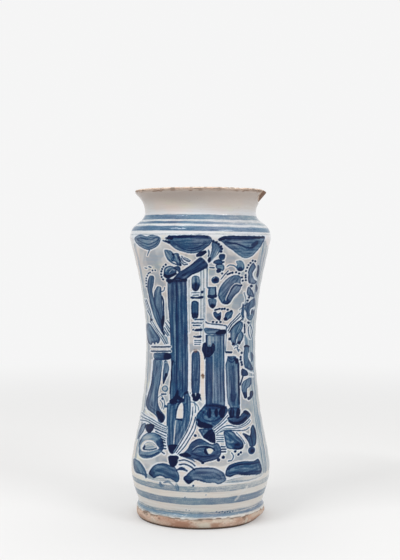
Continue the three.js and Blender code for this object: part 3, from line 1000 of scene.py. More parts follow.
    def leave_white(self, outline):
        """A shape wiped back to the white glaze, without its wash."""
        cut, _, _, depth = self.inside(outline)
        cover = smooth_step(-0.2, 0.3, depth)
        Brush.ink[cut] *= 1 - 0.95 * cover
        Brush.wash[cut] *= 1 - cover

    def round_mark(self, across, up, radius, squash, ragged):
        """The part of the grid round a dot, and the distance from its middle."""
        cut, u, v, marks = self.area(on_wall((across, up)), radius + 1)
        away = np.hypot(u - marks[0, 0], (v - marks[0, 1]) * squash)
        return cut, away + ragged * radius * self.noise(u / radius, v / radius)

    def iron_spot(self, across, up, radius, amount=0.9):
        """A rusty speck where iron in the clay came through the glaze."""
        cut, away = self.round_mark(across, up, radius, 1.0, 0.4)
        cover = amount * (1 - smooth_step(0.5 * radius, radius, away))
        Brush.rust[cut] = np.maximum(Brush.rust[cut], cover)

    def dot(self, across, up, radius, tone=DARK):
        """A dab with the tip of the brush, a little wider than high."""
        cut, away = self.round_mark(across, up, radius, 1.05, 0.15)
        cover = 1 - smooth_step(radius - FINE_EDGE, radius + FINE_EDGE, away)
        self.lay(cut, cover, tone - 0.1 * away / radius)
        self.keep_clean(cut, radius - away, cover, 0.9)

    def dots(self, places, radius=0.8, tone=DARK):
        """A row of dabs."""
        for across, up in np.reshape(places, (-1, 2)):
            self.dot(across, up, radius, tone)

    def tint(self, outline, amount=0.6):
        """A thin grey-green wash behind the ornament."""
        cut, u, v, depth = self.inside(outline)
        blotch = 0.85 + 0.25 * self.noise(u / 3, v / 4)
        cover = smooth_step(-0.4, 0.8, depth) * amount * blotch
        Brush.wash[cut] = np.maximum(Brush.wash[cut], cover)

    def mottle(self, outline, amount):
        """Thin uneven glaze-water over the whole panel, in clouds."""
        cut, u, v, depth = self.inside(outline)
        cloud = self.noise(u / 8, v / 11) + 0.6 * self.noise(u / 3, v / 4, 50, 7)
        cover = smooth_step(0, 4, depth) * (0.42 + 0.58 * smooth_step(-0.3, 0.5, cloud))
        Brush.wash[cut] = np.maximum(Brush.wash[cut], amount * cover)

    def band(self, low, high, tone, waver=0.25, lift=0.0, fuller=0.0):
        """A stripe drawn on the turning wheel; at the left of the panel lift raises it, fuller darkens it."""
        at_left = np.maximum(0, np.cos(glaze_turn - math.radians(BAND_HIGH_DEG)))
        drift = waver * coat_noise(7, self.seed, low) + lift * at_left
        edge = 0.25 * coat_noise(50, self.seed + 1, high)
        under = coat_level - low - drift + 0.5 * edge
        over = high + drift + edge - coat_level
        cover = smooth_step(-BAND_EDGE, BAND_EDGE, under) * smooth_step(-BAND_EDGE, BAND_EDGE, over)
        value = tone + fuller * at_left + 0.05 * coat_noise(5, self.seed + 2, low, coat_level)
        value = value + 0.06 * coat_noise(40, self.seed + 3, coat_level / 0.6, coat_level)
        value = value + 0.04 * coat_noise(110, self.seed + 9, coat_level / 0.45, coat_level)
        value = value + 0.05 * (1 - smooth_step(0, (high - low) / 3, under))
        Brush.ink += cover * (np.maximum(Brush.ink, value) - Brush.ink)
        self.seed += 4

    def upright(self, turn_deg, low, high, width, tone):
        """A line from low to high down the border of the panel."""
        runs = np.linspace(run_at(low), run_at(high), 24)
        sway = math.radians(0.8) * self.noise(runs / 25, 0 * runs, 0)
        places = np.stack([math.radians(turn_deg) + sway, runs], axis=1)
        squeeze = math.cos(math.radians(min(abs(turn_deg), SIDE_LIMIT_DEG)))
        cut, u, v, marks = self.area(places, (width / 2 + 1.5) * squeeze)
        away, side, along, _ = self.nearest(u, v, marks)
        away = away / squeeze + 0.2 * self.noise(along / 4, side / 2, 40)
        value = tone + 0.12 * self.noise(side / squeeze / 0.8, along / 14, 60, 500)
        self.lay(cut, 1 - smooth_step(width / 2 - BAND_EDGE, width / 2 + BAND_EDGE, away), value)


def paint_stripes(brush):
    """Stripes drawn on the wheel over the foot and between neck and shoulder."""
    for low, high, tone, *more in (
        (10.0, 11.4, 0.24), (11.0, 13.2, 0.34), (13.4, 14.9, 0.30), (15.2, 15.9, 0.10), (20.9, 26.9, 0.31),
        (32.0, 36.9, 0.28), (241.4, 242.4, 0.22), (243.6, 257.6, 0.14, 0.4, 1.0),
        (243.6, 247.4, 0.44, 0.25, 1.4, 0.04), (249.5, 251.5, 0.27, 0.35, 1.2, 0.24),
        (253.8, 257.7, 0.30, 0.25, 0.5, 0.14),
    ):
        brush.band(low, high, tone, *more)


def paint_washes(brush):
    """Clouds of glaze-water over the panel, and grey-green washes in and beside the shapes."""
    brush.mottle([-52, 240, 0, 241, 56, 240, 50, 205, 46, 160, 46, 100, 50, 60, 52, 44, 0, 41, -54, 44, -52, 60,
                  -48, 100, -48, 160, -52, 205], 0.86)
    brush.tint([-48.8, 228, -44.5, 226, -39.4, 229.6, -34.4, 231.7, -30.8, 229, -30, 225, -33.7, 221, -32, 218,
                -37, 216, -44, 215, -48, 214.4, -50.3, 218, -49.5, 222.4], 0.8)
    brush.tint([-39.4, 208, -36.5, 206.5, -34.4, 202, -32, 198, -29.3, 199.2, -30.8, 195, -33, 192.7, -35, 196.4,
                -37.3, 200, -40.2, 203.6], 0.9)
    brush.tint([21.2, 225.2, 26.3, 224.5, 30.6, 222.4, 30.6, 218, 28.5, 216.2, 24.8, 216.2, 21.2, 218], 0.85)
    brush.tint([35, 195, 37, 192, 38.6, 187.7, 37.8, 183.4, 35.7, 179.7, 32, 177, 28.5, 177.6, 26.3, 179.7,
                28.5, 184.8, 32, 190], 1.1)
    brush.line([37.3, 192, 38.9, 186.2, 37.1, 180.5, 33.5, 177.4], 0.9, 0.45)
    brush.tint([36, 98, 44, 99, 46, 92, 43, 87, 38, 88], 0.9)
    brush.tint([-37.3, 50.3, -32.2, 50.7, -27.2, 49, -27.5, 45.3, -33, 44.5, -36.5, 45.3], 0.9)
    brush.tint([-48.8, 44.5, -43.8, 43.8, -44.5, 40.2, -48, 39.5], 0.6)
    brush.tint([26, 53, 34, 54, 42, 54, 41, 49, 33, 46.5, 27, 44, 24, 46], 0.8)
    brush.tint([35, 152, 41, 153, 41, 146, 36, 145], 0.8)
    brush.tint([22, 149, 28, 150, 36, 148, 36, 141, 28, 139, 22, 142], 0.7)
    brush.tint([4, 44, 12, 46.4, 20, 48, 24, 45, 20, 41.4, 8, 41.6], 0.7)


def paint_upper_lobes(brush):
    """The three lobes that hang from the shoulder line, with the folds drawn in them."""
    brush.patch([-56.8, 239, -54.2, 241.3, -50.3, 241.7, -46.7, 240.6, -42.3, 241.9, -37.3, 241.1, -34.7, 239,
                 -35, 236.1, -36.9, 232.8, -40.2, 230.4, -44.9, 228.9, -49.5, 230.3, -53.2, 232.8, -56, 235.7],
                0.45, 0, 0.3)
    for arc in ([-53.9, 235.7, -49.5, 232.8, -44.9, 231.4, -40.2, 232.8, -37.3, 235.4],
                [-54.6, 237.9, -49.5, 235, -44.9, 233.9, -39.4, 235.7, -36.2, 238.2],
                [-51.7, 239.7, -46.7, 237.9, -41.6, 238.2, -38, 239.7]):
        brush.line(arc, 0.8, 0.62)
    brush.line([-43.8, 229.2, -44.9, 226.7, -45.9, 224.2], 0.9, 0.6)
    brush.patch([-30.4, 237.2, -28.6, 239.6, -26, 241.2, -10, 241.6, 6, 241.2, 10, 237.5, 8, 233.5, 5, 231, 1, 228,
                 -3, 226.5, -7, 226, -12, 226.5, -17, 228, -21, 229.5, -25, 232.5, -28, 235.2], 0.60, 0, 0.26)
    brush.stroke([-32.4, 236.9, -27.2, 235.4], (0.8, 2.0), 0.9)
    brush.stroke([-30.2, 239.2, -25, 239], (0.8, 2.4), 0.95)
    brush.scratch([-30.8, 237.9, -28.6, 237.4], 0.6)
    brush.stroke([-27, 240, -10, 240.4, 6, 239.9], 2.2, 0.82, 0, 0, 0.2, 0.4)
    brush.line([-24, 235, -16, 231.6, -8, 230.2, -1, 231.6, 5, 235], 0.9, 0.74)
    brush.line([-20, 232.2, -12, 228.8, -6, 228.4, 0, 230.2], 0.8, 0.78)
    brush.patch([15.5, 237.5, 17, 239.3, 22, 240.6, 30, 241, 45, 241, 50, 240.2, 55, 240.5, 54, 236, 51, 231,
                 47, 226.5, 44, 223.5, 40, 222, 36, 222.5, 32, 225, 27, 229, 22, 232.5, 19, 235.5], 0.50, 0, 0.22)
    brush.stroke([16.7, 237.9, 21.2, 239.5, 28.5, 239.5, 42.9, 239.5, 54, 240], (2.4, 3.2, 3.0, 2.6, 1.6), 0.86,
                 0, 0, 0.2, 0.4)
    brush.line([21.2, 236.1, 24.8, 235, 30.6, 234.3, 35.7, 232.5, 40, 230.9, 44.3, 230.9, 48.7, 234.3], 1.2, 0.84)
    brush.stroke([44.5, 233.2, 48, 235.4], (2.2, 3.0), 0.72, 0, 0)
    brush.tint([9, 238, 15, 239, 15, 235.5, 10, 235.5], 0.8)


def paint_left_flower(brush):
    """The flower under the left lobe: its petals, its heart and two arcs of dots."""
    brush.patch([-31.1, 228.9, -29.3, 229.2, -25.7, 228.1, -23.5, 226, -22.8, 223.1, -24.3, 220.9, -26.4, 219.5,
                 -28.2, 220.2, -30, 223.1, -30.9, 226], 0.46, -50, 0.3)
    brush.patch([-22.8, 226, -19.9, 226.3, -18.5, 224.9, -18.9, 222.4, -17.8, 220.2, -16.7, 218, -16.5, 215.5,
                 -17.8, 215.1, -19.9, 216.2, -22.1, 218.7, -25.4, 219.4, -23.5, 221.6, -23.9, 224.5], 0.56, -60,
                 0.3)
    brush.stroke([-18.4, 223, -17, 219.5, -17.2, 215.6], (1.0, 2.2, 1.4), 0.98)
    brush.line([-27, 219.6, -23.5, 217.4, -19.5, 216], 1.0, 0.8)
    brush.dot(-23.8, 225.2, 1.0)
    brush.scratch([-29.6, 226.8, -27.9, 223.8, -26, 221], 0.7, 0.45)
    brush.scratch([-21.7, 224.2, -20.7, 220.9, -19.2, 218.6], 0.7, 0.45)
    brush.patch([-31.8, 209.4, -31.1, 213, -28.6, 214.8, -25, 215.1, -22.1, 213.7, -20.7, 211.5, -21.4, 208.6,
                 -25, 206.5, -29.3, 205, -31.5, 206.5], 0.58, 0, 0.3)
    brush.stroke([-22, 213.4, -19.6, 213.2, -18.8, 211.2], (2.2, 3.6, 2.6), 0.72)
    brush.stroke([-31, 207, -28.6, 205.8, -25, 206.8, -21.4, 208.4], (2.2, 3.2, 2.4, 1.6), 0.98, 0, 0)
    brush.scratch([-30.2, 210.6, -28.6, 213, -25.7, 213.8], 0.6, 0.6)
    brush.scratch([-27.2, 209.4, -25, 211.5, -22.1, 211.5], 0.6, 0.6)
    brush.dots([-30, 216.2, -32, 214.6, -33.2, 212.6, -33.9, 210.4, -34.0, 208, -33.5, 205.6, -32.3, 203.6], 0.95)
    brush.dots([-39.2, 211.4, -41.6, 211.2, -43.6, 209.6, -45, 208.7, -46, 206.8, -46.8, 204.5, -46.9, 202.5,
                -47, 200, -46.8, 197.5], 0.8, 0.95)
    brush.line([-44.5, 214.5, -42.8, 214], 1.0, 0.75)
    brush.line([-48, 213.5, -46.4, 213], 1.0, 0.6)
    brush.stroke([-14.2, 222.6, -11.8, 220.4, -9, 219.8], (0.8, 2.4, 1.0), 0.60)
    brush.fine_lines([[-16.2, 223.4, -14.2, 220.9, -10.5, 219.1, -9, 219.6], [-16.8, 222, -14.9, 218.7, -12, 217.4],
                      [-16.3, 218, -14.2, 216.2, -11.3, 216.6]], 0.8, 0.92)


def paint_cross_bar(brush):
    """The thick slanting bar under the middle lobe, with its knob and the dotted leaf beside it."""
    brush.patch([-19, 209.5, -16, 211.3, -10, 215, -5, 219, -1, 222.3, 1.5, 222, 5, 218.5, 6.3, 216, 5.5, 213.3,
                 3, 212.3, -2, 209.5, -7, 207.5, -10, 205.3, -13.5, 203.2, -20, 204, -24, 203], 0.72, 33, 0.25,
                0.18)
    brush.stroke([-2.5, 224.2, 0.5, 225.6, 4, 227.2], (2.6, 4.0, 2.6), 0.95)
    brush.patch([10.4, 235.7, 14, 235.4, 16.2, 233.6, 17.3, 230.7, 16.5, 227.4, 14.4, 224.5, 11.8, 221.6, 9, 218.7,
                 6.8, 218, 6.4, 220.9, 7.5, 223.1, 9, 226.7, 9.7, 230.3, 9.7, 233.9], 0.50, 68, 0.26)
    brush.dots([11.1, 236.4, 13.7, 235.4, 15.8, 233.8, 17.6, 231.9, 18.2, 229.9, 17.6, 227.6], 1.15, 0.98)
    brush.scratch([14.9, 227.4, 12.6, 223.1, 8.8, 218.6], 0.6, 0.7)
    brush.stroke([6.9, 228.9, 7.4, 225.8, 6.8, 223.4], (0.9, 1.5, 0.9), 0.85)
    brush.scratch([8.5, 229.5, 8.4, 225.6, 7.2, 221.6], 0.7, 0.9)
    brush.stroke([8, 221.6, 7.4, 219.6], 2.2, 0.98)
    brush.patch([16.9, 225.2, 20.5, 225.2, 21.2, 223.1, 20.5, 220.9, 18.3, 220.2, 16.2, 221.6, 15.8, 223.8],
                 0.72, 0, 0.3)
    brush.patch([11.8, 219.5, 16.2, 220.9, 19.1, 218.7, 18.3, 216.6, 14, 216.6, 11.1, 217.7], 0.76, 0, 0.3)
    brush.patch([13.3, 215.9, 16.9, 216.9, 19.8, 215.9, 20.5, 213, 19.1, 210.8, 16.9, 212.2, 14, 213], 0.48, 0, 0.4)
    brush.dot(15.6, 210.9, 1.9, 0.98)
    brush.dot(19.9, 218.4, 0.8)
    brush.line([8.1, 213.8, 11.8, 213.5], 1.0, 0.85)
    brush.dot(18.7, 208.6, 0.9)
    brush.dot(12.9, 203.2, 3.3, 0.86)
    brush.dot(12.9, 203, 1.6, 1.02)
    brush.scratch([10.9, 204.2, 12.4, 205.4], 0.6, 0.6)


def paint_left_leaves(brush):
    """Long leaves that climb beside the columns, with hatching between them."""
    brush.stroke([-36, 195.4, -36.9, 191, -36.7, 184, -35.7, 176, -34.5, 166, -33.3, 160],
                 (4.6, 6.6, 7.0, 6.0, 4.2, 1.6), 0.5, 0.2, 0.26)
    brush.stroke([-42.2, 204.6, -43.2, 200, -43.6, 195, -42.9, 190, -41.2, 182, -38.6, 174, -35.6, 166, -33, 160,
                  -31.5, 156], (5.0, 5.6, 4.6, 4.2, 4.6, 5.2, 4.4, 3.2, 1.4), 0.58, 0.2, 0.24)
    brush.line([-33.2, 188.5, -32, 184, -32, 176, -31.6, 170], 1.3, 0.95)
    brush.stroke([-32, 171.5, -32.6, 167, -33, 163], (1.6, 2.8, 1.4), 1.0)
    brush.line([-32.8, 160, -31.4, 156.3], 1.4, 0.95)
    brush.line([-33.5, 193, -31.5, 194, -31, 196.5], 0.9, 0.7)
    brush.patch([-46.7, 165.1, -43.8, 165.1, -41.6, 162.6, -38, 157.5, -35.5, 153.9, -35.2, 150.3, -36.9, 148.1,
                 -38.4, 149.4, -39.4, 147.2, -41, 149, -42.7, 147, -44.9, 148.8, -46.3, 153.2, -47, 158.9],
                 0.52, -60, 0.26)
    brush.fine_lines([[-48.1, 186.2, -46.3, 181.2, -43.8, 172.5], [-47, 186.2, -44.9, 180.5, -42.2, 170.6],
                      [-46.3, 177, -43.8, 172.7, -42.8, 168]], 0.8, 0.9)
    brush.dot(-42.6, 168.6, 1.3)
    brush.stroke([-32.4, 155.6, -30.6, 152.4, -28.6, 148.4], (1.2, 3.4, 1.8), 0.42)
    brush.fine_lines([[-43.8, 167.6, -39.4, 161.1, -35.1, 154.6, -30.6, 147.6], [-41.6, 167, -38, 161.1,
                      -33.7, 155.3, -29.4, 148.1]], 0.7, 0.8)
    brush.fine_lines([[-28.6, 168, -26.3, 164.6], [-30.4, 166.2, -26.4, 160.2], [-30, 163.3, -26.8, 158.1],
                      [-31.1, 161.8, -27.2, 155.2], [-31.3, 158.9, -28.2, 154.6]], 0.7, 0.92)


def paint_first_column(brush):
    """The tall column left of the middle, forked at its foot."""
    brush.patch([-28.5, 203.5, -20, 204.6, -12, 204, -11.5, 180, -11, 160, -10.7, 140, -10.7, 110, -11, 104,
                 -14, 104, -16.5, 99, -18.5, 96, -21, 97, -24, 98, -26.5, 100, -26.3, 113, -25.2, 122, -25.6, 138,
                 -26.2, 155, -27, 170, -28, 180, -28.5, 195], 0.63, 90, 0.16, 0.13, soft=False)
    brush.stroke([-28, 202.6, -20, 202.2, -12.6, 202.8], (3.4, 2.2, 2.6), 0.86, 0, 0)
    brush.line([-20.8, 202, -20.6, 170, -20.6, 130, -20.6, 104], 1.5, 0.80)
    brush.line([-16.2, 202, -16, 170, -15.8, 130, -15.6, 106], 0.8, 0.70)
    brush.line([-13.4, 202, -13.2, 165, -12.8, 120, -12.5, 106], 0.8, 0.72)
    brush.line([-24.2, 202, -24, 165, -23.2, 140], 0.9, 0.70)
    brush.scratch([-18.4, 200, -18.2, 165, -18, 125], 0.8, 0.16)
    brush.scratch([-22.6, 200, -22.4, 165, -22, 130], 1.0, 0.16)
    brush.line([-23.9, 133, -25.1, 126, -25.3, 118, -26, 113, -26.4, 105], 1.0, 1.0)
    brush.line([-26, 140, -24.4, 134, -22.2, 131.6], 0.9, 0.8)
    brush.dot(-26.7, 202, 2.0)
    brush.stroke([-25.5, 98, -22.5, 99.5, -20.5, 103, -19.5, 107], (3.0, 3.4, 2.8, 1.6), 0.96)
    brush.stroke([-20.5, 103, -18.5, 100.5, -15.2, 99], (2.0, 3.0, 2.4), 0.96)
    brush.stroke([-24.5, 96.4, -22, 97.4], (3.0, 3.6), 1.0)
    brush.patch([-14.5, 104, -11.5, 105.6, -8.7, 103.5, -8.4, 90, -9.3, 80, -11.5, 73, -15, 66, -19, 58, -22, 53,
                 -26.5, 53, -29, 60, -29.5, 75, -29.2, 90, -28.6, 96.5, -24, 97.5, -20.3, 98, -14.6, 98], 0.60, 90,
                0.2, 0.13, soft=False)
    brush.leave_white([-21, 83.2, -21, 86, -20.3, 89.3, -18.5, 94.4, -16.3, 96.9, -14.9, 94.4, -14.7, 89.3, -15, 85,
                       -15.6, 83.2])
    brush.line([-20.9, 82.6, -18.6, 82.2, -16.2, 81.6], 1.1, 0.98)
    brush.line([-21.4, 84, -20.9, 89.5, -19, 95, -16.4, 97.6], 1.0, 0.85)
    brush.line([-14.2, 84, -14.1, 90, -14.5, 95], 0.9, 0.8)
    brush.line([-13.8, 105, -11.5, 106, -9.2, 104.8], 1.4, 0.95)
    brush.scratch([-21.4, 81, -22.4, 72, -23.2, 61], 0.8, 0.75)
    brush.patch([-28, 59.4, -24, 60.4, -19.6, 59.6, -20.4, 55.6, -24.2, 52.2, -27.2, 54.6], 1.0, 90)
    brush.patch([-27.7, 50, -24, 50.8, -19.2, 50, -19.4, 46, -21.2, 42.2, -24, 40.6, -26.5, 42.5, -27.8, 46.5],
                 0.98, 90, 0.1)


def paint_panel_column(brush):
    """The narrow column of capsules and marks in the middle."""
    brush.line([0.4, 213, 0.5, 180, 0.3, 156], 1.2, 0.30)
    brush.line([2.6, 213, 2.6, 185, 2.4, 150], 1.4, 0.28)
    brush.line([5.7, 214, 5.7, 200, 6, 196.5, 8.3, 196], 1.0, 0.62)
    brush.line([-9.9, 203, -9.9, 180, -9.6, 158], 0.9, 0.30)
    brush.line([3.6, 196, 3.8, 180, 3.8, 168], 0.7, 0.34)
    brush.patch([-7.6, 203.6, -6.6, 206, -4, 206.8, -1.4, 206, -0.6, 203.4, -0.6, 198, -1.6, 194.8, -4, 193.2,
                 -6.6, 194.6, -7.7, 198], 0.52, 90, 0.26, pool=(-4, 196.3, 5.5, 0.45))
    brush.fine_lines([[-7.5, 192, -1, 192], [-6.5, 189.8, -1.5, 189.9]], 0.8, 0.7)
    brush.stroke([-7.8, 187.8, -4, 187.5, -0.4, 187.8], (2.0, 1.4, 2.0), 0.92)
    brush.dots([1.4, 192.6, 1.2, 188.2], 1.2, 1.0)
    brush.patch([-8, 182, -7.4, 184.2, -5, 185, -2.4, 184.2, -1.6, 182, -1.8, 173, -3.0, 169.8, -4.8, 168.4,
                 -6.8, 169.8, -7.8, 173], 0.66, 90, 0.24, pool=(-5, 170.8, 5, 0.4))
    brush.fine_lines([[-4.8, 168.7, 2.5, 168.9], [-7.3, 165.8, 1.4, 165.8], [-6.2, 163.6, -0.4, 163.6]], 0.95, 0.85)
    brush.line([-3.4, 159.7, 0.6, 159.9], 2.0, 1.0)
    brush.dots([-6.4, 160, -4.6, 159.4, -5.4, 154.1, -3.8, 153.7], 0.8, 1.0)
    brush.dots([-2.2, 153.8, -0.2, 154], 1.1, 1.0)
    brush.fine_lines([[-5.1, 150.7, 0.3, 150.7], [-5.1, 149, 0.3, 149], [-5.1, 147.3, -0.4, 147.2]], 0.75, 0.88)
    brush.patch([-7.6, 135, -7.2, 139.6, -4.2, 141.6, -0.9, 139.8, -0.4, 130, -0.6, 110, -1.8, 103.5, -4.6, 102,
                 -7.0, 104, -8, 112], 0.62, 90, 0.24)
    brush.stroke([-6.4, 103, -4.2, 100.4, -1.6, 103.2], (2.8, 5.0, 3.2), 1.0)
    brush.scratch([-4.2, 104.8, -4.2, 102.6], 0.9, 0.7)
    brush.line([-0.6, 101, 1.6, 98.6], 1.8, 0.98)
    brush.dot(-3.6, 116.8, 1.4, 0.72)
    brush.iron_spot(-4, 141.7, 1.9, 0.55)
    brush.iron_spot(1.9, 120.4, 1.7, 0.95)
    brush.iron_spot(2.2, 118.6, 1.2, 0.8)
    brush.scratch([-10.2, 146, -9.7, 126, -10, 107, -7.3, 100.4], 1.3, 0.95)


def paint_bars(brush):
    """The short capped bar right of the middle."""
    brush.patch([6.8, 197, 13.2, 197, 13.6, 188, 11, 187.2, 6.8, 187.6], 0.52, 90, 0.3, soft=False)
    brush.stroke([7.4, 189, 10, 188.4, 13, 189.2], 2.6, 0.95)
    brush.line([13, 196.5, 13.2, 189], 1.2, 0.85)
    brush.patch([6.9, 186.4, 13.4, 186.4, 13.4, 182, 12.4, 179.6, 10.5, 178.3, 8.4, 179.6, 7.2, 182], 0.5, 90,
                pool=(10.5, 179.5, 3.6, 0.5))
    brush.line([7.2, 195, 7, 188], 0.8, 0.8)


def paint_right_flowers(brush):
    """The big bean with its row of dots, and small flowers under it."""
    brush.patch([30.6, 219.1, 35, 219.8, 37.2, 217, 37.8, 213.8, 36.6, 211.4, 34, 210.6, 31.4, 211.8, 30.6, 214.4,
                 31.4, 216.4], 0.42, 90, 0.18, pool=(34.2, 211.6, 3.4, 0.4))
    brush.line([22.7, 214.3, 24.8, 215.9, 28.5, 215.5, 31.3, 213.3], 1.0, 0.6)
    brush.line([17.6, 203.6, 20.5, 207.2, 23.8, 210.8], 0.8, 0.85)
    brush.line([23.2, 207.8, 26, 209], 1.5, DARK)
    brush.dots([27.6, 209.3, 30.6, 209.6, 33.2, 208.6, 35.6, 205.2, 36.2, 202.4, 35.2, 198.3], 1.0)
    brush.patch([30, 207.3, 24, 205, 20, 201, 16.5, 196, 15, 190, 16.5, 185.8, 19, 182.7, 23, 182, 26, 184,
                 29, 189, 33, 193, 35, 197, 34.4, 201, 34.2, 206], 0.53, 50, 0.24, pool=(22.5, 183.5, 4, 0.3))
    brush.scratch([34.4, 199.4, 29.9, 200, 26.3, 196.4, 24.1, 192, 22.1, 187.7, 21.8, 185.4], 0.7, 0.85)
    brush.line([34, 198, 30.4, 198.6, 27.2, 195.4, 25, 191.4, 23.2, 187.4, 23, 185.4], 0.8, 0.78)
    brush.stroke([12.6, 177, 16.6, 178.2], 1.4, DARK)
    brush.dots([18.6, 178, 20.8, 178.2, 23.4, 177.4, 26.5, 176.2], 1.05)
    brush.patch([11, 174.5, 13, 175.8, 15, 174, 17.4, 175.3, 17.8, 172, 16.6, 168, 14, 169.4, 11.8, 171.6],
                 0.62, -50, pool=(16.3, 170, 3, 0.4))
    brush.stroke([22.2, 169.5, 24.2, 172.5, 26.3, 174.8], (3.4, 6.2, 3.6), 0.62)
    brush.dot(21.4, 169.4, 1.5)
    brush.dots([10.8, 166.8, 14, 166.5, 17.3, 166.7], 1.0)
    brush.scratch([5, 164, 12, 162.9, 21.4, 161.9], 1.6, 0.9)
    brush.line([4.5, 166.8, 6.4, 165.5, 11.9, 164.8, 18.1, 164.2, 22.5, 163.1, 22.6, 160.9], 1.0, 0.74)


